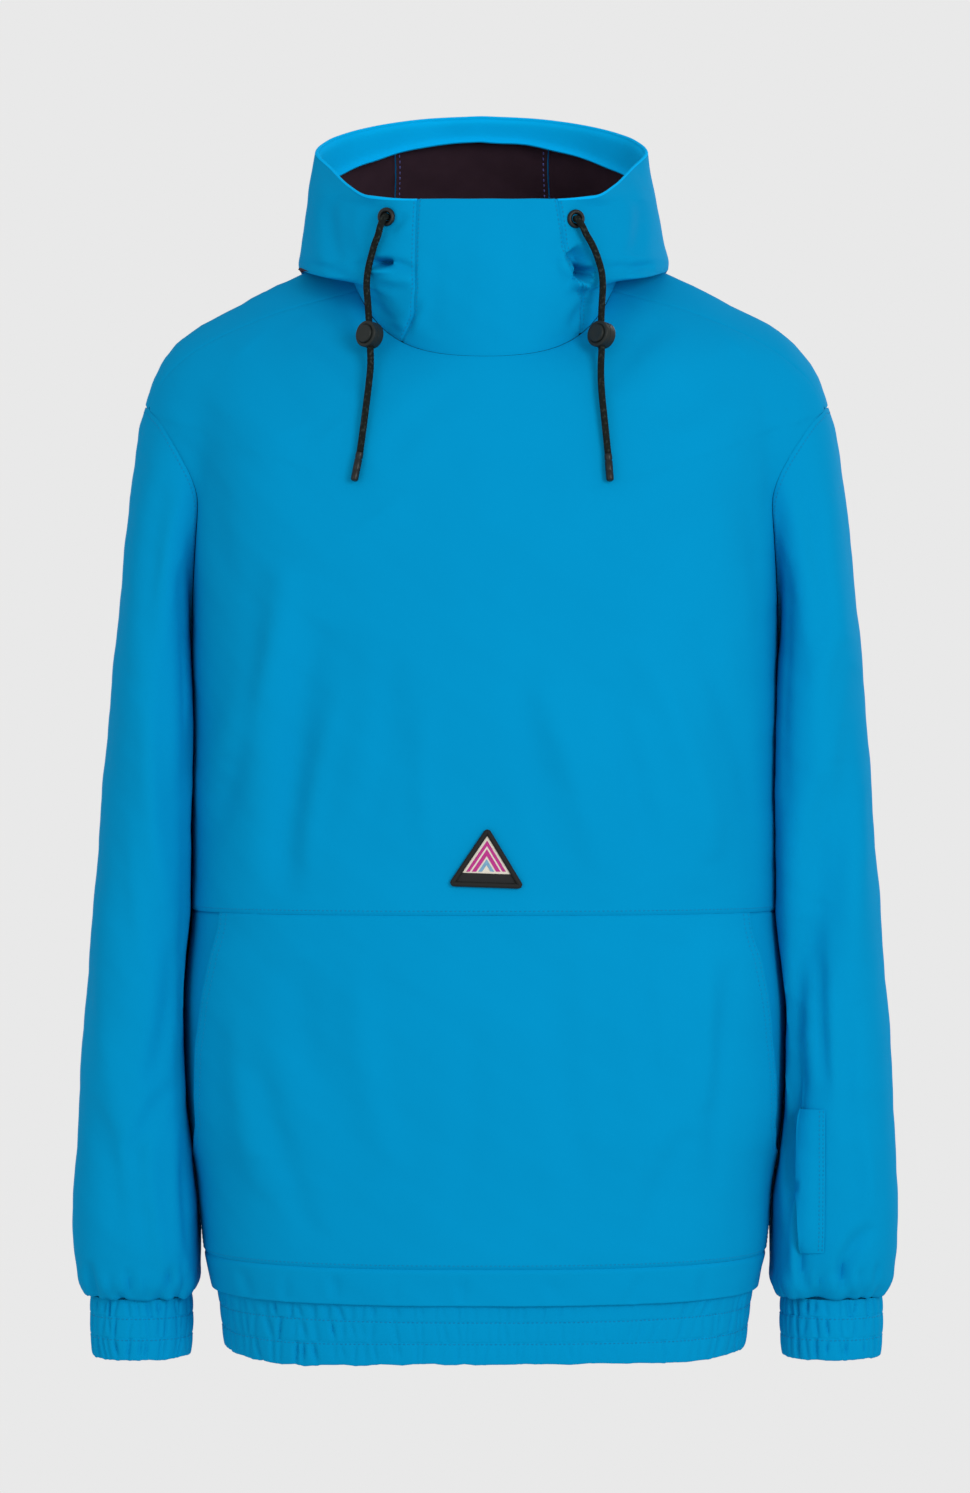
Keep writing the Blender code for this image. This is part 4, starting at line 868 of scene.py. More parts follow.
# From the front: the upper front and the pocket.
FRONT_CREASES = (
    (250, 345, 330, 430, 6, 26, 3.4),
    (300, 330, 372, 396, -6, 12, 1.9),
    (735, 345, 660, 425, -6, 26, 3.4),
    (668, 322, 606, 390, 6, 12, 1.9),
    (285, 560, 225, 760, -14, 17, -4.2),
    (262, 600, 208, 850, -10, 12, 2.5),
    (320, 620, 285, 900, 10, 17, 4.2),
    (345, 680, 305, 890, 8, 12, -2.3),
    (392, 640, 372, 830, -6, 14, 1.7),
    (425, 700, 428, 850, 4, 12, -1.7),
    (520, 660, 556, 860, 6, 16, 1.9),
    (540, 690, 600, 880, -8, 13, -2.3),
    (600, 680, 650, 880, -10, 15, 2.9),
    (635, 640, 715, 860, -14, 15, -3.8),
    (690, 620, 752, 820, -10, 14, 2.7),
    (735, 470, 768, 640, -6, 14, 1.9),
    (215, 470, 232, 600, 6, 13, 1.7),
    (470, 380, 380, 470, 8, 15, 1.3),
    (505, 382, 610, 480, -8, 15, 1.3),
    (300, 960, 330, 1120, 10, 20, 3.2),
    (360, 950, 400, 1180, 14, 17, -2.1),
    (236, 1010, 262, 1200, 8, 13, -2.3),
    (262, 1060, 320, 1245, 8, 12, 1.9),
    (470, 1010, 455, 1240, -8, 16, 1.5),
    (560, 960, 590, 1210, 10, 18, 1.9),
    (640, 930, 668, 1130, 6, 14, 1.9),
    (700, 930, 706, 1110, -5, 13, -2.9),
    (733, 960, 716, 1190, 5, 10, 1.9),
    (690, 1130, 640, 1250, 6, 12, 1.7),
    (332, 1262, 336, 1300, 0, 5, 1.7),
    (292, 1266, 284, 1300, 2, 5, 1.1),
    (398, 1268, 392, 1302, 0, 4, 0.8),
    (466, 1268, 462, 1304, 2, 5, 1.5),
    (548, 1270, 556, 1303, 0, 6, 0.8),
    (642, 1270, 634, 1303, 2, 5, 1.3),
    (700, 1268, 706, 1300, 0, 5, 1.3),
    (240, 1262, 252, 1298, 2, 5, 1.7),
)

# From the front: both sleeves.
SLEEVE_CREASES = (
    (168, 470, 150, 660, 8, 11, 2.9),
    (128, 430, 116, 560, 6, 13, 1.7),
    (182, 560, 186, 800, -4, 8, 2.5),
    (150, 700, 166, 910, 6, 11, -2.7),
    (120, 760, 134, 980, 8, 12, 2.1),
    (100, 880, 110, 1090, 6, 10, -1.7),
    (172, 940, 150, 1090, -6, 9, 2.7),
    (176, 1080, 132, 1170, 6, 9, 2.3),
    (92, 1090, 120, 1240, -6, 10, 2.1),
    (150, 1130, 168, 1275, 5, 8, -2.1),
    (186, 1120, 190, 1260, 2, 6, 2.3),
    (88, 1262, 99, 1297, 2, 4, 3.2),
    (109, 1274, 112, 1298, 0, 3, 1.7),
    (127, 1268, 128, 1297, -2, 4, 2.7),
    (148, 1276, 147, 1298, 0, 3, 1.7),
    (171, 1266, 172, 1297, 2, 4, 2.9),
    (188, 1272, 186, 1298, 0, 3, 1.7),
    (800, 470, 822, 660, -8, 11, 2.7),
    (846, 430, 856, 560, -6, 13, 1.7),
    (790, 560, 786, 820, 4, 8, 2.1),
    (850, 640, 835, 770, 6, 15, 3.6),
    (835, 760, 818, 910, 5, 13, 3.8),
    (822, 900, 800, 1050, 4, 12, 3.6),
    (806, 1040, 790, 1200, 4, 10, 3.4),
    (870, 760, 862, 960, 8, 11, -2.1),
    (808, 950, 812, 1095, 3, 6, -1.9),
    (820, 950, 826, 1085, 3, 5, 1.7),
    (833, 960, 838, 1100, 3, 6, -1.7),
    (856, 1000, 850, 1140, 4, 9, 1.9),
    (779, 1100, 797, 1250, -5, 6, 4.2),
    (800, 1240, 806, 1291, 2, 4, 3.8),
    (873, 1225, 838, 1283, 5, 8, 4.0),
    (842, 1262, 843, 1292, 0, 4, 3.8),
    (820, 1272, 819, 1293, 0, 3, 1.9),
    (860, 1268, 862, 1294, 0, 3, 1.9),
    (879, 1262, 874, 1292, 0, 3, 2.1),
    (862, 1120, 870, 1215, -4, 8, -1.9),
)

# From the front: the hood and its collar.
HOOD_CREASES = (
    (388, 232, 406, 214, 0, 5, 1.9),
    (380, 262, 417, 272, -3, 5, 2.6),
    (370, 274, 414, 281, 2, 5, -1.8),
    (363, 288, 396, 322, 4, 5, 2.6),
    (352, 268, 366, 262, 0, 5, 1.4),
    (405, 343, 372, 318, 2, 5, 2.4),
    (405, 343, 420, 300, -2, 4, 1.8),
    (370, 262, 390, 262, 1, 4, 15.0),
    (571, 250, 585, 268, -3, 9, 11.0),
    (575, 269, 592, 274, 1, 6, 30.0),
    (563, 290, 592, 280, -4, 5, -1.6),
    (566, 244, 566, 276, 3, 4, -1.6),
    (596, 250, 640, 262, 4, 7, -0.9),
    (570, 226, 560, 250, 0, 5, 0.8),
    (610, 268, 655, 268, -2, 6, 2.2),
    (590, 300, 570, 330, 3, 5, 1.7),
    (332, 196, 340, 262, 6, 8, 2.6),
    (357, 206, 372, 258, 6, 7, -0.9),
    (640, 200, 632, 256, -6, 8, 2.4),
    (612, 206, 604, 250, -5, 7, -0.8),
    (440, 250, 436, 338, 4, 10, 0.8),
    (478, 215, 470, 350, -6, 12, -0.6),
    (520, 230, 526, 350, 5, 12, 0.8),
    (300, 262, 352, 280, -3, 4, 1.0),
    (664, 262, 616, 280, 3, 4, 1.0),
)

# From behind, where nothing is seen: the same kinds of folds, as the cloth hangs from the shoulders.
BACK_CREASES = (
    (300, 400, 420, 520, 12, 22, 3.0),
    (670, 400, 560, 520, -12, 22, 3.0),
    (360, 520, 330, 800, 14, 20, 3.4),
    (430, 560, 420, 900, -10, 18, -2.7),
    (520, 540, 540, 860, 10, 20, 2.8),
    (610, 520, 650, 830, -12, 18, -3.0),
    (690, 560, 722, 900, -8, 16, 2.7),
    (268, 600, 246, 900, 8, 15, -2.3),
    (300, 880, 320, 1180, 10, 18, 2.5),
    (400, 930, 380, 1230, -8, 16, -1.9),
    (500, 900, 510, 1220, 10, 18, 2.3),
    (600, 940, 580, 1230, 8, 15, -2.1),
    (680, 900, 690, 1200, -8, 14, 2.3),
    (350, 1262, 352, 1300, 0, 5, 1.3),
    (455, 1266, 450, 1302, 0, 5, 1.1),
    (540, 1266, 545, 1302, 0, 5, 1.3),
    (640, 1264, 634, 1300, 0, 5, 1.3),
    (118, 520, 132, 760, 8, 13, 2.8),
    (160, 620, 150, 860, -6, 12, -2.3),
    (100, 860, 126, 1040, 6, 12, 2.7),
    (150, 960, 118, 1110, 6, 10, 2.7),
    (120, 1120, 150, 1260, -6, 9, 2.3),
    (92, 1262, 98, 1297, 0, 4, 2.5),
    (134, 1266, 132, 1297, 0, 4, 2.3),
    (168, 1264, 172, 1297, 0, 4, 2.5),
    (856, 520, 842, 760, -8, 13, 2.8),
    (812, 620, 824, 860, 6, 12, -2.3),
    (868, 860, 840, 1050, -6, 12, 2.7),
    (822, 980, 850, 1120, -6, 10, 2.7),
    (850, 1130, 822, 1255, 6, 9, 2.3),
    (876, 1262, 872, 1297, 0, 4, 2.5),
    (838, 1266, 841, 1297, 0, 4, 2.3),
    (804, 1264, 800, 1297, 0, 4, 2.5),
)

# ---------------------------------------------------------------- body pieces


def from_edge(grid, side):
    """A grid turned so that its first row is one of its edges: t, b, l or r."""
    grid = np.moveaxis(grid, 1 if side in "lr" else 0, 0)
    return grid[::-1] if side in "br" else grid


def turned_under(points, normals, side, radius, run):
    """A grid with its cloth folded back inside along one edge: t, b, l or r."""
    grid, outward = from_edge(points, side), from_edge(normals, side)
    edge, out = grid[0], outward[0]
    away = edge - grid[2]
    away = unit(away - out * (away * out).sum(-1, keepdims=True))
    centre = edge - out * radius
    arc_out = [out * math.cos(t) + away * math.sin(t) for t in np.linspace(0, math.pi, 8)[1:]]
    arc = [centre + radius * way for way in arc_out]
    for share in (0.2, 0.5, 1.0):
        arc.append(arc[6] - away * run * share)
        arc_out.append(-out)
    grid = np.concatenate([np.stack(arc[::-1]), grid])
    outward = np.concatenate([np.stack(arc_out[::-1]), outward])
    if side in "br":
        grid, outward = grid[::-1], outward[::-1]
    turn = 1 if side in "lr" else 0
    return np.moveaxis(grid, 0, turn), np.moveaxis(outward, 0, turn)


def seam_angle(level, which):
    """The angle of the seam at the edge of the front or of the back, at any level."""
    seam = columns(EDGE_COLUMNS, SHOULDER_SEAM[:-1] + ARMHOLE_SEAM)
    return smooth(seam["level"], seam[which], level)


def mouth_angle(level):
    """The pocket panel's slanting edge, which runs out to the side seam where the mouth ends."""
    return np.interp(-np.asarray(level), *POCKET_MOUTH)


# How far the photograph's outline stands out from the even shape at heights z, in millimetres, for
# the wearer's right and left.
OUTLINE_HEIGHTS = (-0.68, -0.62, -0.56, -0.34, -0.29, -0.19, -0.15, -0.125, -0.110, -0.096, -0.068, -0.020)
OUTLINE_RIGHT = (0.0, -1.4, -2.0, -2.2, -2.2, -2.4, -3.0, -4.6, -5.2, -4.0, -2.0, 0.0)
OUTLINE_LEFT = (0.0, -0.4, 0.0, 0.8, 2.0, 2.0, 0.6, -0.8, -1.4, -1.0, 0.0, 0.0)


def outlined(points):
    """The points with the jacket's outer sides moved to the outline that is seen."""
    x, z = points[..., 0], points[..., 2]
    out = np.where(x < 0, np.interp(z, OUTLINE_HEIGHTS, OUTLINE_RIGHT),
                   np.interp(z, OUTLINE_HEIGHTS, OUTLINE_LEFT))
    moved = points.copy()
    moved[..., 0] += np.sign(x) * out / 1000 * ramp(0.205, 0.245, np.abs(x))
    return moved


def body_grid(top, bottom, first, last, width, step=STEP):
    """Angles and levels of a grid on the body between two edges, and its points and normals."""
    trim = SEAM_GAP / 2
    down = shares(top - bottom, step)
    level = (top - trim + (bottom - top + 2 * trim) * down)[:, None]
    start, end = first(level), last(level)
    across = shares(width, step)[None, :]
    # columns spaced evenly along the cloth, row by row
    fine = np.linspace(0, 1, 121)[None, :]
    angles = start + (end - start) * fine
    line = body_point(angles, np.broadcast_to(level, angles.shape))
    steps = np.linalg.norm(np.diff(line, axis=1), axis=-1)
    run = np.concatenate([np.zeros((len(level), 1)), np.cumsum(steps, axis=1)], axis=1)
    length = run[:, -1:]
    place = trim + across * (length - 2 * trim)
    angle = np.array([np.interp(p, r, a) for p, r, a in zip(place, run, angles)])
    level = np.broadcast_to(level, angle.shape)
    points = outlined(body_point(angle, level))
    return angle, level, points, grid_normals(points, False)


HELD_REACH = 0.014  # how far in from a held edge the creases reach their depth


def with_relief(points, normals, tables, behind=(), size=0.0004, seed=0, sides="tblr", mask=None, flat="",
                held=""):
    """The grid pressed in by its creases, small waves and rolled edges. The creases run out before
    the edges that are held, so that a piece meets its neighbour there."""
    depth = uneven(points, size, seed)
    for table in tables:
        depth = depth + creased(points, normals, table)
    for table in behind:
        depth = depth + creased(points, normals, table, from_behind=True)
    if mask is not None:
        depth = depth * mask
    across, down = runs(points)
    for side, away in (("t", down), ("b", down[-1:] - down), ("l", across), ("r", across[:, -1:] - across)):
        if side in held:
            depth = depth * ramp(0.001, HELD_REACH, away)
    depth = depth + rolled(points, sides, flat)
    moved = points - normals * depth[..., None]
    return moved, grid_normals(moved, False)


def badge_clear(points):
    """0 under the badge, where the cloth is held flat, and 1 away from it."""
    middle = np.array(BADGE_CORNERS).mean(0)
    away = np.hypot(points[..., 0] - middle[0], points[..., 2] - middle[1])
    return np.where(points[..., 1] < 0, ramp(0.030, 0.046, away), 1.0)


def make_front():
    _, _, points, normals = body_grid(
        NECK_LEVEL, POCKET_SEAM_LEVEL, lambda level: -seam_angle(level, "front_angle"),
        lambda level: seam_angle(level, "front_angle"), 0.48, 0.0031)
    points, normals = with_relief(points, normals, [FRONT_CREASES], mask=badge_clear(points), flat="tlr",
                                  held="tlr")
    return cloth_sheet("front_upper", points, normals)


def make_back():
    _, _, points, normals = body_grid(
        NECK_LEVEL, STRIP_SEAM_LEVEL, lambda level: seam_angle(level, "back_angle"),
        lambda level: 360 - seam_angle(level, "back_angle"), 0.50, 0.0046)
    points, normals = with_relief(points, normals, [FRONT_CREASES], [BACK_CREASES], seed=2, flat="tlr",
                                  held="tblr")
    return cloth_sheet("back_panel", points, normals)


def make_pocket():
    angle, level, points, normals = body_grid(
        POCKET_SEAM_LEVEL, STRIP_SEAM_LEVEL, lambda level: -mouth_angle(level), mouth_angle, 0.42, 0.0030)
    near = ramp(0.72, 1.0, np.abs(angle) / mouth_angle(level))
    inside = ramp(POCKET_MOUTH_END_LEVEL - 0.01, -0.570, level) * (1 - ramp(-0.470, -0.442, level))
    points = points + normals * (2 * POCKET_MOUTH_LIFT * near * inside)[..., None]
    points, normals = with_relief(points, normals, [FRONT_CREASES], sides="tb", held="b")
    for side in "lr":
        points, normals = turned_under(points, normals, side, 0.0016, 0.006)
    return cloth_sheet("pocket_panel", points, normals)


def make_lower_front():
    angle, level, points, normals = body_grid(
        POCKET_SEAM_LEVEL, STRIP_SEAM_LEVEL, lambda level: -SIDE_SEAM + 0 * level,
        lambda level: SIDE_SEAM + 0 * level, 0.47, 0.0056)
    tucked = ramp(0, 1, (SIDE_SEAM - np.abs(angle)) / (SIDE_SEAM - mouth_angle(level)))
    depth = tucked * (CLOTH + LAYER_GAP) + creased(points, normals, FRONT_CREASES) * ramp(0.0, 0.6, tucked)
    depth = depth + rolled(points, "tblr")
    points = points - normals * depth[..., None]
    return cloth_sheet("front_lower", points, grid_normals(points, False))


def make_strips():
    made = []
    for name, first, front, behind in (("strip_front", -SIDE_SEAM, [FRONT_CREASES], []),
                                       ("strip_back", SIDE_SEAM, [], [BACK_CREASES])):
        angle, level, points, normals = body_grid(
            STRIP_SEAM_LEVEL, HEM_SEAM_LEVEL, lambda level: first + 0 * level,
            lambda level: first + 180 + 0 * level, 0.47, 0.0026)
        sag = 0.0012 * ramp(-0.680, HEM_SEAM_LEVEL, level)  # its lower edge hangs out over the band
        points = points + normals * sag[..., None]
        points, normals = with_relief(points, normals, front, behind, sides="tlr", seed=4, held="tlr")
        points, normals = turned_under(points, normals, "b", 0.0012, 0.002)
        made.append(cloth_sheet(name, points, normals))
    return made


# ---------------------------------------------------------------- gathered elastic bands

STITCH_ROWS = (0.31, 0.66)  # shares of the way down a band
STITCH_SINK = 0.0002  # how far the stitched rows draw the band in
BAND_PUFF = 0.0004  # how far its channels stand out between them
BAND_SHEET = 0.0014  # its cloth's thickness, and the radius of the fold along its foot
BAND_SCALLOP = 0.0006  # how uneven that fold is
HEM_LINES, CUFF_LINES = 812, 256  # how fine their grids are, round them
HEM_INSET = 0.0022  # how far the hem band is drawn in from the strip above it
CUFF_INSET = 0.0018
CUFF_DROOP = 0.0018


def band_relief(turn, share, count, size, seed):
    """Gathers round a band: narrow uneven grooves between soft puffs, drawn closer at the stitched
    rows. turn runs from 0 to 1 round the band, and size gives how strongly it is gathered there."""
    draw = np.random.default_rng(seed)
    depth = np.zeros(np.broadcast(turn, share).shape)
    edges = (0.0, *STITCH_ROWS, 1.0)
    first = (np.arange(count) + draw.uniform(-0.36, 0.36, count)) / count
    for top, bottom in zip(edges[:-1], edges[1:]):
        inside = (share >= top) & (share <= bottom)
        local = np.clip((share - top) / (bottom - top), 0, 1)
        puff = np.sin(math.pi * local) ** 0.8
        centres = first + draw.uniform(-0.16, 0.16, count) / count
        depths = draw.uniform(0.30, 1.0, count)
        widths = draw.uniform(0.15, 0.28, count) / count
        leans = draw.uniform(-0.45, 0.45, count) / count
        reaches = draw.uniform(-0.25, 0.35, count)
        grooves = np.zeros(depth.shape)
        for centre, deep, width, lean, reach in zip(centres, depths, widths, leans, reaches):
            away = turn - centre - lean * (local - 0.5)
            away = (away + 0.5) % 1.0 - 0.5
            fade = ramp(-0.3, 0.3, 0.5 + reach - np.abs(local - 0.5 - 0.5 * reach))
            grooves = np.maximum(grooves, deep * fade * np.exp(-((away / width) ** 2)))
        depth = np.where(inside, BAND_PUFF * puff - size(turn) * grooves * (0.55 + 0.45 * puff), depth)
    return depth


def make_band(name, ring_at, count, columns, size, seed, droop):
    share = np.unique(np.concatenate([
        np.linspace(0, 1, 23), *(row + np.array((-0.03, -0.012, 0, 0.012, 0.03)) for row in STITCH_ROWS)]))
    angle = np.linspace(180, -180, columns + 1)[::-1]
    points = np.stack([ring_at(angle, one) for one in share])
    normals = grid_normals(points, True)
    turn = np.linspace(0, 1, columns + 1)[None, :]
    proud = band_relief(turn, share[:, None], count, size, seed)
    proud = proud - STITCH_SINK * sum(np.exp(-(((share[:, None] - row) / 0.020) ** 2)) for row in STITCH_ROWS)
    waves = np.random.default_rng(seed + 1).uniform(-1, 1, count)
    scallop = BAND_SCALLOP * np.interp(turn[0] * count, np.arange(count + 1), np.append(waves, waves[0]))
    points = points + normals * proud[..., None]
    points[..., 2] += scallop * ramp(0.75, 1.0, share[:, None])
    points[..., 2] -= droop(angle)[None, :] * ramp(0.3, 1.0, share[:, None])
    points[:, -1] = points[:, 0]
    normals = grid_normals(points, True)
    points, normals = turned_under(points, normals, "b", BAND_SHEET, 0.006)
    return cloth_sheet(name, points, normals, tube=True, back=SHELL_CLOTH, thickness=BAND_SHEET)


def make_hem():
    def ring_at(angle, share):
        level = HEM_SEAM_LEVEL - SEAM_GAP / 2 + (HEM_BOTTOM_LEVEL + BAND_SHEET - HEM_SEAM_LEVEL) * share
        points = body_point(angle, np.full(angle.shape, level))
        return points - unit(points * [1, 1, 0]) * HEM_INSET

    def size(turn):  # faint at the middle of the front, stronger towards its right end and behind
        angle = turn * 360 - 180
        front = np.exp(-(((angle - 12) / 52) ** 4))
        return 0.0030 * (1 - 0.72 * front)

    def droop(angle):  # its lower edge hangs level across the front, then turns up at the sides
        return 0.0036 * (np.exp(-(((angle + 56) / 20) ** 2)) + 0.6 * np.exp(-(((angle - 60) / 20) ** 2)))

    return make_band("hem_band", ring_at, HEM_GATHERS, HEM_LINES, size, 5, droop)


def make_cuff(name, side):
    middle = np.array([side * ((CUFF_OUTER_X + CUFF_INNER_X) / 2 + CUFF_SHIFTS[side]),
                       (CUFF_FRONT_Y + CUFF_BACK_Y) / 2, 0])
    half = np.array([CUFF_OUTER_X - CUFF_INNER_X, CUFF_BACK_Y - CUFF_FRONT_Y]) / 2 - CUFF_INSET

    def ring_at(turn, share):
        z = CUFF_TOP - SEAM_GAP / 2 + (CUFF_BOTTOM + BAND_SHEET - CUFF_TOP) * share
        wide = half + 0.0010 * math.sin(math.pi * share) - 0.0008 * share
        return middle + np.stack([wide[0] * np.sin(np.radians(turn)), -wide[1] * np.cos(np.radians(turn)),
                                  np.full(turn.shape, z)], axis=-1)

    def size(turn):  # closest towards the wearer's right
        return 0.0022 + 0.0010 * np.exp(-(((turn - 0.38) / 0.10) ** 2))

    seed = 7 if side == LEFT else 11
    return make_band(name, ring_at, CUFF_GATHERS, CUFF_LINES, size, seed,
                     lambda angle: np.full(angle.shape, CUFF_DROOP))


# ---------------------------------------------------------------- sleeves


ARMHOLE_EASE = 0.012  # over this run from its seam the sleeve comes clear of the body's side


def sleeve_grid(side, around, down_step):
    """A fine grid on the sleeve's surface, its rows from the armhole to the cuff seam."""
    table_levels = np.array([row[0] for row in ARMHOLE_SEAM])
    half = len(table_levels) - 1
    turn = np.linspace(180, 540, around + 1)
    place = (turn / 360 * 2 * half) % (2 * half)
    front = place <= half
    index = np.where(front, place, 2 * half - place)
    level = smooth(np.arange(half + 1), table_levels, index)
    angle = np.where(front, seam_angle(level, "front_angle"), seam_angle(level, "back_angle"))
    start = body_point(angle, level)
    sine, cosine = np.sin(np.radians(turn)), np.cos(np.radians(turn))
    to_outer = (1 + cosine) / 2
    shoulder, underarm = start[around // 2], start[0]
    power = 2 / (SLEEVE_SQUARENESS + SLEEVE_FLATTENED * ramp(0.1, 0.7, -cosine))
    across, deep = np.sign(cosine) * np.abs(cosine) ** power, np.sign(sine) * np.abs(sine) ** power
    rings = [start]
    for row in SLEEVE_SECTIONS:
        cut = dict(zip(SLEEVE_COLUMNS, row))
        section = np.stack([
            (cut["outer_x"] + cut["inner_x"]) / 2 + (cut["outer_x"] - cut["inner_x"]) / 2 * across,
            (cut["front_y"] + cut["back_y"]) / 2 + (cut["front_y"] - cut["back_y"]) / 2 * deep,
            cut["inner_z"] + (cut["outer_z"] - cut["inner_z"]) * to_outer], axis=-1)
        outer = np.array([cut["outer_x"], 0, cut["outer_z"]]) - shoulder * [1, 0, 1]
        inner = np.array([cut["inner_x"], 0, cut["inner_z"]]) - underarm * [1, 0, 1]
        moved = start + inner + (outer - inner) * to_outer[:, None]
        rings.append(moved + (section - moved) * cut["away"])
    rings = clear_of_body(np.stack(rings))
    # a smooth curve down each column, through the rings
    run = np.arange(len(rings), dtype=float)
    length = np.linalg.norm(np.diff(rings, axis=0), axis=-1).sum(0).max()
    gaps = np.linalg.norm(np.diff(rings, axis=0), axis=-1).max(1)
    reach = np.concatenate([[0], np.cumsum(gaps)])
    at = np.interp(shares(length, down_step) * reach[-1], reach, run)
    slopes = np.gradient(rings, axis=0)
    i = np.clip(at.astype(int), 0, len(rings) - 2)
    t = (at - i)[:, None, None]
    fine = (rings[i] * (1 + 2 * t) * (1 - t) ** 2 + slopes[i] * t * (1 - t) ** 2
            + rings[i + 1] * t**2 * (3 - 2 * t) - slopes[i + 1] * t**2 * (1 - t))
    clearing = 1 - np.exp(-((runs(fine)[1] / ARMHOLE_EASE) ** 2))[..., None]
    fine = fine + (clear_of_body(fine) - fine) * clearing
    folds = LEFT_SLEEVE_FOLDS if side == LEFT else RIGHT_SLEEVE_FOLDS
    normals = -grid_normals(fine, True)
    depth = pressed(folds, np.broadcast_to(turn % 360, fine.shape[:2]), fine[..., 2], SLEEVE_RADIUS)
    fine = fine - normals * depth[..., None] * clearing
    fine = fine + (clear_of_body(fine) - fine) * clearing
    fine = outlined(fine * [side, 1, 1])
    if side == LEFT:
        fine = fine[:, ::-1]
    return fine


SLEEVE_LINES, SLEEVE_STEP = 112, 0.0032  # how fine its grid is, round it and down it
SLEEVE_PLEATS = 19  # gathered into the cuff
PLEAT_DEPTH = 0.0046
BLOUSE, BLOUSE_MIDDLE, BLOUSE_REACH = 0.0018, 0.010, 0.009  # how it stands out just over the cuff
SLEEVE_FOOT = 0.0016  # how uneven its lower edge is


def make_sleeve(name, side):
    points = sleeve_grid(side, SLEEVE_LINES, SLEEVE_STEP)
    normals = grid_normals(points, True)
    depth = uneven(points, 0.0004, 9 + side) + creased(points, normals, SLEEVE_CREASES)
    _, down = runs(points)
    depth = (depth + creased(points, normals, BACK_CREASES, from_behind=True)) * ramp(0.001, HELD_REACH, down)
    depth = depth + rolled(points, "tb", "t")
    low = points[-1:, :, 2].mean()
    above = points[..., 2] - low
    turn = np.linspace(0, 1, points.shape[1])[None, :]
    draw = np.random.default_rng(21 + side)
    pleats = np.zeros(above.shape)
    for centre, deep, width, rise, lean in zip(
            (np.arange(SLEEVE_PLEATS) + draw.uniform(-0.4, 0.4, SLEEVE_PLEATS)) / SLEEVE_PLEATS,
            draw.uniform(0.2, 1.0, SLEEVE_PLEATS), draw.uniform(0.010, 0.020, SLEEVE_PLEATS),
            draw.uniform(0.006, 0.022, SLEEVE_PLEATS), draw.uniform(-1.2, 1.2, SLEEVE_PLEATS)):
        away = (turn - centre - lean * above + 0.5) % 1.0 - 0.5
        pleats = np.maximum(pleats, deep * np.exp(-((away / width) ** 2)) * np.exp(-((above / rise) ** 2)))
    uneven_puff = 1 + 0.5 * np.sin(2 * math.pi * (3 * turn + 0.1 * side)) * np.cos(2 * math.pi * 5 * turn)
    puff = BLOUSE * uneven_puff * np.exp(-(((above - BLOUSE_MIDDLE) / BLOUSE_REACH) ** 2))
    depth = depth - puff + PLEAT_DEPTH * pleats
    points = points - normals * depth[..., None]
    points[..., 2] -= SLEEVE_FOOT * (uneven_puff - 1) * np.exp(-((above / 0.006) ** 2))
    points[:, -1] = points[:, 0]
    return cloth_sheet(name, points, grid_normals(points, True), tube=True)


WELT_SHEET = 0.0010
WELT_OPEN = 0.0042  # how far its open edge stands off the sleeve


def make_welt():
    """The welt over the left forearm's small pocket, lifted along its open edge."""
    sleeve, outward = GRIDS["sleeve_left"]
    rows, outs = [], []
    for z in np.linspace(WELT_TOP, WELT_BOTTOM, 42):
        ring, out = (np.array([read_line(-z, -sleeve[:, c, 2], grid[:, c]) for c in range(sleeve.shape[1])])
                     for grid in (sleeve, outward))
        out = unit(out)
        front = out[:, 1] < -0.15
        order = np.argsort(ring[front, 0])
        ring, out = ring[front][order], out[front][order]
        wide = WELT_INNER_X + (WELT_OUTER_X - WELT_INNER_X) * shares(WELT_OUTER_X - WELT_INNER_X, 0.0012)
        rows.append(read_line(wide, ring[:, 0], ring))
        outs.append(unit(read_line(wide, ring[:, 0], out)))
    points, normals = np.stack(rows), np.stack(outs)
    across = np.linspace(0, 1, points.shape[1])[None, :]
    lift = WELT_SHEET + 0.0002 + WELT_OPEN * (1 - across) ** 1.2
    ends = np.exp(-np.minimum(points[..., 2] - WELT_BOTTOM, WELT_TOP - points[..., 2]) / 0.005)
    points = points + normals * (lift * (1 - 0.55 * ends))[..., None]
    # The line just under the welt's open edge, where a dark tube paints the pocket mouth's shadow.
    mouth = points[:, :1] - normals[:, :1] * (WELT_OPEN * 0.85) + [-0.0011, 0, 0]
    GRIDS["welt_mouth"] = (mouth, normals[:, :1])
    return cloth_sheet("sleeve_pocket_welt", points, grid_normals(points, False), thickness=WELT_SHEET)


# ---------------------------------------------------------------- hood


# The collar's two seams: how far down from the rim, and the degrees round on the right and left.
COLLAR_SEAMS = ((0.0, 0.35, 0.6, 0.8, 1.0), (29.0, 28.4, 28.0, 30.0, 36.2), (34.3, 34.8, 38.0, 41.5, 42.8))
# The same for the edge of the turned-in hem, and for the top of the outer cloth inside its fold.
FACING_TURNS = (0, 30, 60, 90, 130, 180)
FACING_DROPS = (0.20, 0.20, 0.095, 0.070, 0.056, 0.050)
FOLD_DROPS = (0.016, 0.016, 0.009, 0.007, 0.006, 0.006)


def round_turn(angle):
    """Degrees from the front centre, whichever way round."""
    return np.abs((angle + 180) % 360 - 180)


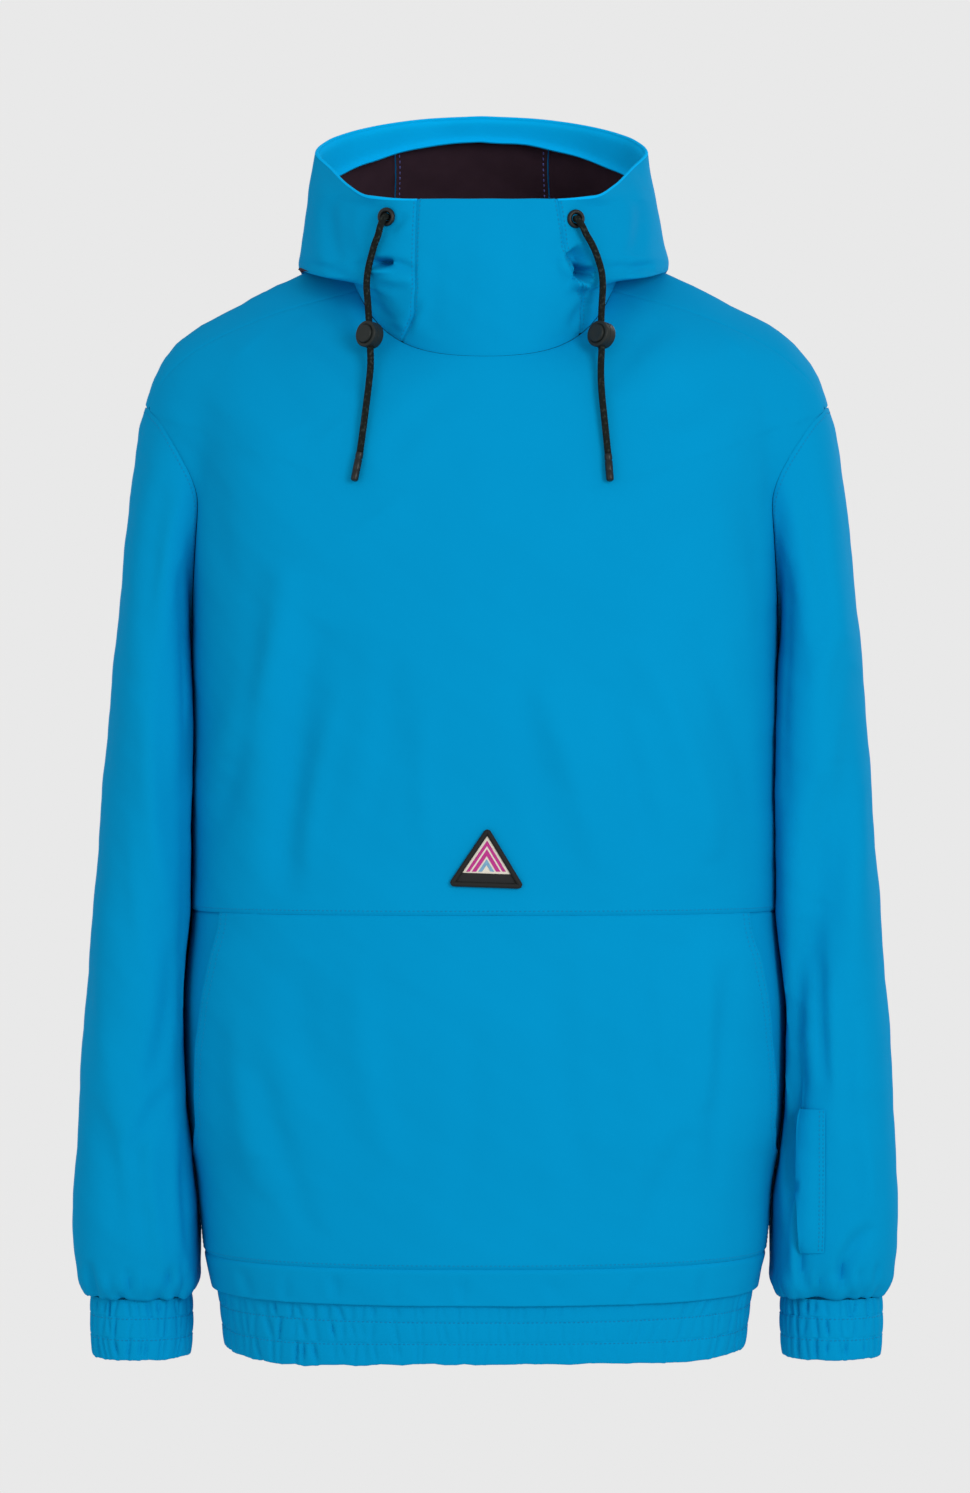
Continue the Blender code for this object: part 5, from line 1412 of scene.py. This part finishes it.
HOOD_EDGES = {
    "collar_right": lambda drop: -np.interp(drop, COLLAR_SEAMS[0], COLLAR_SEAMS[1]),
    "collar_left": lambda drop: np.interp(drop, COLLAR_SEAMS[0], COLLAR_SEAMS[2]),
    "crown_left": lambda drop: CROWN_SEAM_LEFT,
    "crown_right": lambda drop: 360 - CROWN_SEAM_RIGHT,
    "collar_round": lambda drop: 360 - np.interp(drop, COLLAR_SEAMS[0], COLLAR_SEAMS[1]),
}
RIM_RADIUS = 0.0014
FACING_LEAN = 0.0090  # how far the turned-in hem's lower edge hangs off the hood's inside
FACING_SHEET = 0.0012
FACING_RIPPLES, RIPPLE_DEPTH = 26, 0.0006  # half waves along that edge


def hood_grid(first, last, bottoms, length, width, step):
    """A fine grid on the hood's surface between two of its seams, from its fold at the rim down to
    the drops that bottoms gives for FACING_TURNS."""
    rows = []
    for one in shares(length, step):
        start, end = HOOD_EDGES[first](one * max(bottoms)), HOOD_EDGES[last](one * max(bottoms))
        fine = np.linspace(start, end, 181)
        top = np.interp(round_turn(fine), FACING_TURNS, FOLD_DROPS)
        drop = top + (np.interp(round_turn(fine), FACING_TURNS, bottoms) - top) * one
        line = hood_point(fine, drop)
        run = run_of(line)
        place = SEAM_GAP / 2 + shares(width, step) * (run[-1] - SEAM_GAP)
        rows.append(read_line(place, run, line))
    points = np.stack(rows)
    return points, grid_normals(points, False)


def make_hood():
    made = []
    for name, first, last, width, length, step, held in (
            ("hood_collar_front", "collar_right", "collar_left", 0.108, 0.095, 0.0022, "b"),
            ("hood_side_left", "collar_left", "crown_left", 0.22, 0.27, 0.0023, "br"),
            ("hood_crown", "crown_left", "crown_right", 0.12, 0.46, 0.0034, "blr"),
            ("hood_side_right", "crown_right", "collar_round", 0.22, 0.27, 0.0023, "bl")):
        points, normals = hood_grid(first, last, (1.0,) * len(FACING_TURNS), length, width, step)
        points, normals = with_relief(points, normals, [HOOD_CREASES], [BACK_CREASES], 0.0005, 3, sides="blr",
                                      flat="b", held=held)
        if name == "hood_collar_front":
            points, normals = turned_under(points, normals, "t", RIM_RADIUS, 0.012)
        made.append(cloth_sheet(name, points, normals))
    points, normals = hood_grid("collar_left", "collar_round", FACING_DROPS, 0.024, 0.56, 0.0034)
    turn, low = np.linspace(0, 1, points.shape[1]), np.linspace(0, 1, points.shape[0])[:, None]
    ripple = RIPPLE_DEPTH * np.sin(math.pi * FACING_RIPPLES * turn)[None, :] * low
    lean = FACING_LEAN * low**1.3
    ends = np.minimum(turn, np.linspace(1, 0, points.shape[1]))
    lean = lean * ramp(0.0, 0.16, ends)
    inside = points - normals * (2 * RIM_RADIUS + ripple + lean)[..., None]
    out, down = normals[0], points[2] - points[0]
    away = -unit(down - out * (down * out).sum(-1, keepdims=True))
    centre = points[0] - out * RIM_RADIUS
    over = [centre + RIM_RADIUS * (out * math.cos(t) + away * math.sin(t))
            for t in np.linspace(0, math.pi, 9)]
    grid = np.concatenate([np.stack(over[:-1]), inside])[::-1]  # from the inside up and over the rim
    # The facing's lighter cloth is a painted highlight.
    made.append(cloth_sheet("hood_hem_facing", grid, grid_normals(grid, False), thickness=FACING_SHEET,
                            face=FACING_PAINTED_LIGHT, back=FACING_PAINTED_LIGHT))
    return made


# ---------------------------------------------------------------- stitches


def listed_mesh(name, points, faces, finish):
    """A piece from its lists of points and faces."""
    mesh = bpy.data.meshes.new(name)
    mesh.from_pydata(points, [], faces)
    made = bpy.data.objects.new(name, mesh)
    bpy.context.scene.collection.objects.link(made)
    mesh.materials.append(finish)
    mesh.shade_smooth()
    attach(made, "root")
    return made


def stitches(name, lines, thread=SHELL_THREAD, length=0.0021, pitch=0.0031, radius=0.00028):
    """Lines of stitches as one mesh. Each line is points and the outward normals there."""
    points, faces = [], []
    around = [(0, 1), (1, 0), (0, -1), (-1, 0)]
    for line, outward in lines:
        run = run_of(line)
        at = np.arange(pitch / 2, run[-1] - pitch / 2, pitch)
        middle, out = read_line(at, run, line), unit(read_line(at, run, outward))
        along = unit(read_line(at + 0.001, run, line) - read_line(at - 0.001, run, line))
        aside = unit(np.cross(out, along))
        rings = [middle - along * length / 2 - out * radius]
        for place in (-0.32, 0.32):
            for side, up in around:
                rings.append(middle + along * length * place + aside * radius * side + out * radius * up)
        rings.append(middle + along * length / 2 - out * radius)
        one = np.stack(rings, axis=1)
        for stitch in one:
            base = len(points)
            points.extend(stitch.tolist())
            for k in range(4):
                n = (k + 1) % 4
                faces.append((base, base + 1 + n, base + 1 + k))
                faces.append((base + 1 + k, base + 1 + n, base + 5 + n, base + 5 + k))
                faces.append((base + 9, base + 5 + k, base + 5 + n))
    return listed_mesh(name, points, faces, thread)


def beside_edge(name, side, away, first=0.0, last=1.0):
    """A line on a piece's outer face at a distance in from one of its edges."""
    points, normals = GRIDS[name]
    grid, outward = from_edge(points, side)[:30], from_edge(normals, side)[:30]
    run, end = runs(grid)[1], grid.shape[1] - 1
    kept = range(int(first * end), int(last * end) + 1)
    return (np.array([read_line(away, run[:, c], grid[:, c]) for c in kept]),
            unit(np.array([read_line(away, run[:, c], outward[:, c]) for c in kept])))


MOUTH_TURN = 0.0105  # cloth folded back inside along a pocket mouth, before its outer face starts


def band_row(name, share):
    """A line round a gathered band, on the row of its grid nearest a share of the way down."""
    points, normals = GRIDS[name]
    drop = points[0, 0, 2] - share * (points[0, 0, 2] - points[:, 0, 2].min())
    row = int(np.argmin(np.abs(points[:len(points) * 2 // 3, 0, 2] - drop)))
    return points[row], normals[row]


def inner_line(name, side, away):
    """A line on the cloth's back, at a distance in from an edge."""
    points, normals = beside_edge(name, side, away)
    return points - normals * CLOTH, -normals


# ---------------------------------------------------------------- the badge


def front_point(x, level, raised):
    """A point over the front at x, for levels below the neckline's dip."""
    angle = np.degrees(np.arcsin(np.clip(x / 0.14, -1, 1)))
    for _ in range(8):
        angle = np.degrees(np.arctan2(x, -body_point(angle, level)[..., 1]))
    return body_point(angle, level) + normals_of(body_point, angle, level) * np.asarray(raised)[..., None]


def inset_corners(distance):
    """The badge's corners moved in from its edges."""
    corners = np.array(BADGE_CORNERS)
    moved = []
    for index in range(3):
        corner = corners[index]
        one, other = unit(corners[index - 1] - corner), unit(corners[(index + 1) % 3] - corner)
        half = math.acos(float(one @ other)) / 2
        moved.append(corner + unit(one + other) * distance / math.sin(half))
    return np.array(moved)


def badge_outline(inset, edge_steps=40, arc_steps=8):
    """The badge's outline with rounded corners, moved in from its edges."""
    corners, centres = inset_corners(inset), inset_corners(inset + BADGE_CORNER_RADIUS)
    arcs = []
    for index in range(3):
        corner, centre = corners[index], centres[index]
        ways = (unit(corners[index - 1] - corner), unit(corners[(index + 1) % 3] - corner))
        feet = [corner + way * ((centre - corner) @ way) for way in ways]
        arcs.append(centre + unit(np.linspace(*feet, arc_steps) - centre) * BADGE_CORNER_RADIUS)
    edges = [np.linspace(arcs[index - 1][-1], arcs[index][0], edge_steps)[1:-1] for index in range(3)]
    return np.vstack([part for pair in zip(edges, arcs) for part in pair])


def patch(name, places, raised, finish, thickness):
    """A small flat piece on the front: a grid of x and z places, raised off the cloth."""
    points = front_point(places[..., 0], places[..., 1], np.broadcast_to(raised, places.shape[:2]))
    return grid_piece(name, points, places, thickness, (finish,), 1e-6)


BASE_BAND = 0.20  # share of the field's height that the dark band along its foot takes
CHEVRONS = (("chevron_low_pink", 0.0055, 0.0080, 0), ("chevron_blue", 0.0091, 0.0112, 1),
            ("chevron_top_pink", 0.0024, 0.0044, 0))
FIELD_RAISED = LAYER_GAP + BADGE_THICKNESS


def make_badge():
    field = BADGE_BORDER * 1.6
    apex, left, right = inset_corners(field)
    down = np.linspace(0.01, 1, 22)[:, None, None]
    across = np.linspace(0, 1, 22)[:, None]
    places = apex + ((left - apex) * (1 - across) + (right - apex) * across) * down
    ground = patch("badge_ground", places, FIELD_RAISED, BADGE_GROUND, BADGE_THICKNESS)
    stands_for("badge")
    # the dark band along the foot
    top = apex + ((left - apex) * (1 - across) + (right - apex) * across) * (1 - BASE_BAND)
    foot = apex + ((left - apex) * (1 - across) + (right - apex) * across) * 0.995
    rows = np.linspace(0, 1, 6)[:, None, None]
    band = patch("badge_base_band", top[None] * (1 - rows) + foot[None] * rows, FIELD_RAISED + 0.0003,
                 BADGE_BASE, 0.0004)
    # plain chevron bands, one inside the other
    stop = 1 - BASE_BAND - 0.02
    for name, near, far, colour in CHEVRONS:
        lines = []
        for inset in (near, (near + far) / 2, far):
            tip, one, other = inset_corners(field + inset)
            level = (apex + (left - apex) * stop)[1]
            feet = [tip + (end - tip) * (level - tip[1]) / (end[1] - tip[1]) for end in (one, other)]
            lines.append(np.vstack([np.linspace(feet[0], tip, 14)[:-1], np.linspace(tip, feet[1], 14)]))
        crown = np.array([0.0, 1.0, 0.0])[:, None] * 0.00018
        piece = patch(name, np.stack(lines), FIELD_RAISED + 0.0002 + crown,
                      (PINK_SATIN, BLUE_SATIN)[colour], 0.0004)
    line = badge_outline(BADGE_BORDER, 90, 14)
    closed = np.vstack([line, line[:1]])
    run = run_of(closed)
    count = round(run[-1] / 0.00022)
    at = np.linspace(0, run[-1], count, endpoint=False)
    line = read_line(at, run, closed)
    path = front_point(line[:, 0], line[:, 1], np.full(len(line), LAYER_GAP + BADGE_BORDER * 0.9))
    turns = round(run[-1] / 0.00075)

    def satin(around, along):
        return 0.00013 * np.abs(np.sin(math.pi * along / (run[-1] / turns) + around))

    edge = tube_mesh("badge_border_stitched", path, BADGE_BORDER, 12, BLACK_THREAD, closed=True, relief=satin)
    stands_for("badge_border")


# ---------------------------------------------------------------- cords and what is on them


def frames(path, closed=False):
    """A steady pair of cross directions along a path."""
    if closed:
        along = np.roll(path, -1, 0) - np.roll(path, 1, 0)
    else:
        along = np.gradient(path, axis=0)
    along = unit(along)
    one = np.zeros(path.shape)
    start = np.array([0.0, -1.0, 0.0])
    for i, way in enumerate(along):
        start = start - way * (start @ way)
        start = start / np.linalg.norm(start)
        one[i] = start
    return along, one, np.cross(along, one)


def tube_mesh(name, path, radius, sides, finish, closed=False, relief=None):
    """A tube along a path, with relief(around, along) raised on it. Its UVs follow it."""
    along, one, other = frames(path, closed)
    turn = np.arange(sides) * 2 * math.pi / sides
    run = run_of(path)
    steps = np.linalg.norm(np.diff(path, axis=0), axis=1)
    size = np.full((len(path), sides), radius)
    if relief is not None:
        size = size + relief(turn[None, :], run[:, None])
    rings = path[:, None] + size[..., None] * (np.cos(turn)[None, :, None] * one[:, None]
                                              + np.sin(turn)[None, :, None] * other[:, None])
    points = rings.reshape(-1, 3).tolist()
    faces, places = [], []
    rows = len(path) if closed else len(path) - 1
    for i in range(rows):
        j = (i + 1) % len(path)
        for k in range(sides):
            n = (k + 1) % sides
            faces.append((i * sides + k, i * sides + n, j * sides + n, j * sides + k))
            u0, u1 = turn[k] * radius, (turn[k] + 2 * math.pi / sides) * radius
            v0 = run[i]
            v1 = run[i] + (steps[i] if i < len(steps) else steps[-1])
            places.extend([(u0, v0), (u1, v0), (u1, v1), (u0, v1)])
    if not closed:
        for ring, flip in ((0, True), (len(path) - 1, False)):
            centre = len(points)
            points.append(path[ring].tolist())
            for k in range(sides):
                n = (k + 1) % sides
                corner = (ring * sides + k, ring * sides + n)
                faces.append((centre, *(corner[::-1] if flip else corner)))
                places.extend([(0, run[ring])] * 3)
    made = listed_mesh(name, points, faces, finish)
    layer = made.data.uv_layers.new(name="cloth")
    layer.data.foreach_set("uv", np.array(places, float).ravel())
    return made


def route_points(route):
    """The route's first stretch, through its eyelet, then points a step apart on a smooth curve."""
    route = np.array(route)
    run = run_of(route)
    slopes = np.gradient(route, run, axis=0)
    count = round((run[-1] - run[1]) / CORD_STEP)
    places = np.concatenate([np.linspace(0, run[1], max(2, round(run[1] / CORD_STEP) + 1))[:-1],
                             np.linspace(run[1], run[-1], count + 1)])
    i = np.clip(np.searchsorted(run, places, side="right") - 1, 0, len(route) - 2)
    h = (run[i + 1] - run[i])[:, None]
    t = (places - run[i])[:, None] / h
    first = route[i] * (1 + 2 * t) * (1 - t) ** 2 + slopes[i] * h * t * (1 - t) ** 2
    return first + route[i + 1] * t**2 * (3 - 2 * t) - slopes[i + 1] * h * t**2 * (1 - t)


def laid_along(made, middle, axis):
    """Moves a mesh made upright at the origin to a middle point and along an axis."""
    turn = Vector(axis).to_track_quat("Z", "Y").to_matrix().to_4x4()
    turn.translation = Vector(middle)
    made.data.transform(turn)


def turned(name, profile, sides, middle, axis, finish):
    """A round piece shaped from its profile: a circle, drawn up and scaled in steps, then closed. profile is
    radius and height pairs; a radius of 0 closes the end."""
    bpy.ops.object.select_all(action="DESELECT")
    radius, height = profile[0]
    bpy.ops.mesh.primitive_circle_add(vertices=sides, radius=max(radius, 1e-5), location=(0, 0, height))
    made = bpy.context.object
    made.name = made.data.name = name
    bpy.ops.object.transform_apply(location=True)
    bpy.ops.object.mode_set(mode="EDIT")
    bpy.ops.mesh.select_all(action="SELECT")
    for (was, low), (now, high) in zip(profile[:-1], profile[1:]):
        bpy.ops.mesh.extrude_region_move(TRANSFORM_OT_translate={"value": (0, 0, high - low)})
        share = max(now, 1e-5) / max(was, 1e-5)
        bpy.ops.transform.resize(value=(share, share, 1), center_override=(0, 0, high))
    bpy.ops.mesh.select_all(action="SELECT")
    bpy.ops.mesh.remove_doubles(threshold=3e-5)
    bpy.ops.mesh.normals_make_consistent(inside=False)
    bpy.ops.object.mode_set(mode="OBJECT")
    laid_along(made, middle, axis)
    made.data.materials.append(finish)
    made.data.shade_smooth()
    made.data.set_sharp_from_angle(angle=math.radians(38))
    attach(made, "root")
    return made


EYELET_PROFILE = ((0.0031, -0.0034), (0.0031, -0.0002), (0.0034, 0.0010), (0.0041, 0.0017), (0.0049, 0.0019),
                  (0.0057, 0.0016), (0.0062, 0.0009), (0.0064, -0.0002), (0.0060, -0.0008), (0.0045, -0.0010),
                  (0.0034, -0.0034), (0.0031, -0.0034))


def lock_profile():
    half, edge = LOCK_LENGTH / 2, 0.0009
    radius = LOCK_DIAMETER / 2
    bevel = [(radius - edge * (1 - math.sin(t)), half - edge * (1 - math.cos(t)))
             for t in np.linspace(0, math.pi / 2, 5)]
    button = BUTTON_DIAMETER / 2
    face = [(0.0, half - 0.0010), (button + 0.0004, half - 0.0010), (button + 0.0005, half - 0.0001),
            (button + 0.0009, half)]
    back = [(r, -z) for r, z in reversed(bevel)]
    foot = [(radius - 0.0024, -half), (radius - 0.0028, -half + 0.0005), (radius - 0.0062, -half + 0.0005),
            (0.0, -half + 0.0004)]
    middle = [(radius, half * 0.30), (radius - 0.00025, half * 0.26), (radius - 0.00025, half * 0.14),
              (radius, half * 0.10)]
    return (*face, *bevel, *middle, *back, *foot)


def button_profile():
    half, low = LOCK_LENGTH / 2, -0.0008
    button = BUTTON_DIAMETER / 2
    return ((0.0, low), (button - 0.0001, low), (button, 0.0), (button - 0.0001, BUTTON_PROUD - 0.0006),
            (button - 0.0004, BUTTON_PROUD - 0.0001), (button - 0.0010, BUTTON_PROUD),
            (button * 0.55, BUTTON_PROUD - 0.00025), (0.0, BUTTON_PROUD - 0.0003))


def make_cord(side, route, tip_end):
    """A drawcord's free end with its eyelet, lock, button and tip."""
    start = np.array(route[0])
    way_out = unit(np.array(route[1]) - start)
    eyelet = turned(f"eyelet_{side}_ring", EYELET_PROFILE, 48, start + way_out * (EYELET_WIRE + 0.0002),
                    way_out, BLACK_METAL)
    stands_for(f"eyelet_{side}")
    middle = np.array(route[LOCK_POINT])
    along = unit(np.array(route[LOCK_POINT + 1]) - np.array(route[LOCK_POINT - 1]))
    faces = np.array(LOCK_FACES)
    faces = unit(faces - along * (faces @ along))
    lock = turned(f"cord_lock_{side}_barrel", lock_profile(), 56, middle, faces, BLACK_PLASTIC)
    bpy.ops.object.select_all(action="DESELECT")
    bpy.ops.mesh.primitive_cylinder_add(vertices=24, radius=CORD_DIAMETER / 2 + 0.0005, depth=0.03)
    bore = bpy.context.object
    laid_along(bore, middle, along)
    bpy.context.view_layer.objects.active = lock
    cut = lock.modifiers.new("cord_bore", "BOOLEAN")
    cut.object = bore
    cut.solver = "EXACT"
    bpy.ops.object.modifier_apply(modifier="cord_bore")
    bpy.data.objects.remove(bore)
    stands_for(f"cord_lock_{side}")
    button = turned(f"lock_button_{side}_disc", button_profile(), 48, middle + faces * LOCK_LENGTH / 2, faces,
                    BLACK_PLASTIC)
    stands_for(f"lock_button_{side}")
    first, last = np.array(route[-1]), np.array(tip_end)
    down = unit(last - first)
    length = float(np.linalg.norm(last - first))
    r = TIP_DIAMETER / 2
    tip = turned(f"cord_tip_{side}_metal", (
        (CORD_DIAMETER / 2 - 0.0002, 0.0012), (r - 0.0001, 0.0004), (r, 0.0009), (r, 0.0040),
        (r - 0.0003, 0.0044), (r - 0.0003, 0.0050), (r, 0.0054),
        (r, length * 0.62), (r - 0.0002, length * 0.64), (r, length * 0.66),
        (r, length - 0.0012), (r - 0.0003, length - 0.0005), (r - 0.0009, length), (0.0, length)),
        32, first, down, BLACK_METAL)
    stands_for(f"cord_tip_{side}")
    path = route_points(route)

    def braid(around, along):
        return 0.00028 * np.abs(np.sin(5 * around + math.pi * along / 0.0034)
                                * np.sin(5 * around - math.pi * along / 0.0034)) - 0.00012

    flex = tube_mesh(f"cord_{side}_braid", path, CORD_DIAMETER / 2, 30, CORD_WEAVE, relief=braid)
    stands_for(f"cord_{side}")
    length = float(np.linalg.norm(np.diff(path, axis=0), axis=1).sum())
    tuple(path[0])


# ---------------------------------------------------------------- the jacket's sewing


def sew_jacket():
    """Every line of stitches, each on its own piece's face."""
    stitches("neck_stitches", [beside_edge(name, side, 0.0022) for name, side in (
        ("hood_collar_front", "l"), ("hood_collar_front", "r"),
        ("hood_side_left", "l"), ("hood_side_right", "r"))])
    stitches("pocket_seam_stitches", [beside_edge("front_upper", "b", 0.0030, 0.01, 0.99)])
    stitches("pocket_mouth_stitches", [beside_edge("pocket_panel", side, MOUTH_TURN + away)
                                       for side in "lr" for away in (0.0030, 0.0085)])
    stitches("strip_stitches", [beside_edge("pocket_panel", "b", 0.0028, 0.02, 0.98),
                                beside_edge("back_panel", "b", 0.0028, 0.01, 0.99)])
    stitches("sleeve_stitches", [beside_edge(name, "t", 0.0035) for name in ("sleeve_left", "sleeve_right")])
    stitches("welt_stitches", [beside_edge("sleeve_pocket_welt", "r", away) for away in (0.0014, 0.0040)])
    mouth, _ = GRIDS["welt_mouth"]
    # A dark tube under the welt's open edge: painted shadow in the pocket's mouth.
    tube_mesh("sleeve_pocket_mouth", mouth[:, 0], 0.0009, 8, MOUTH_SHADE)
    stitches("band_stitches", [band_row(name, row) for name in ("hem_band", "cuff_left", "cuff_right")
                               for row in STITCH_ROWS])
    stitches("crown_stitches", [inner_line("hood_crown", side, 0.0045) for side in "lr"], INNER_THREAD,
             length=0.0030, pitch=0.0046, radius=0.00050)


# ---------------------------------------------------------------- the jacket, piece by piece


make_camera()
make_studio()
make_cord("right", RIGHT_CORD, RIGHT_TIP_END)
make_cord("left", LEFT_CORD, LEFT_TIP_END)

for made in (make_front(), make_back(), make_pocket(), make_lower_front(), *make_strips(), make_hem(),
             make_cuff("cuff_left", LEFT), make_cuff("cuff_right", RIGHT),
             make_sleeve("sleeve_left", LEFT), make_sleeve("sleeve_right", RIGHT), make_welt(), *make_hood()):
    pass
make_badge()
sew_jacket()
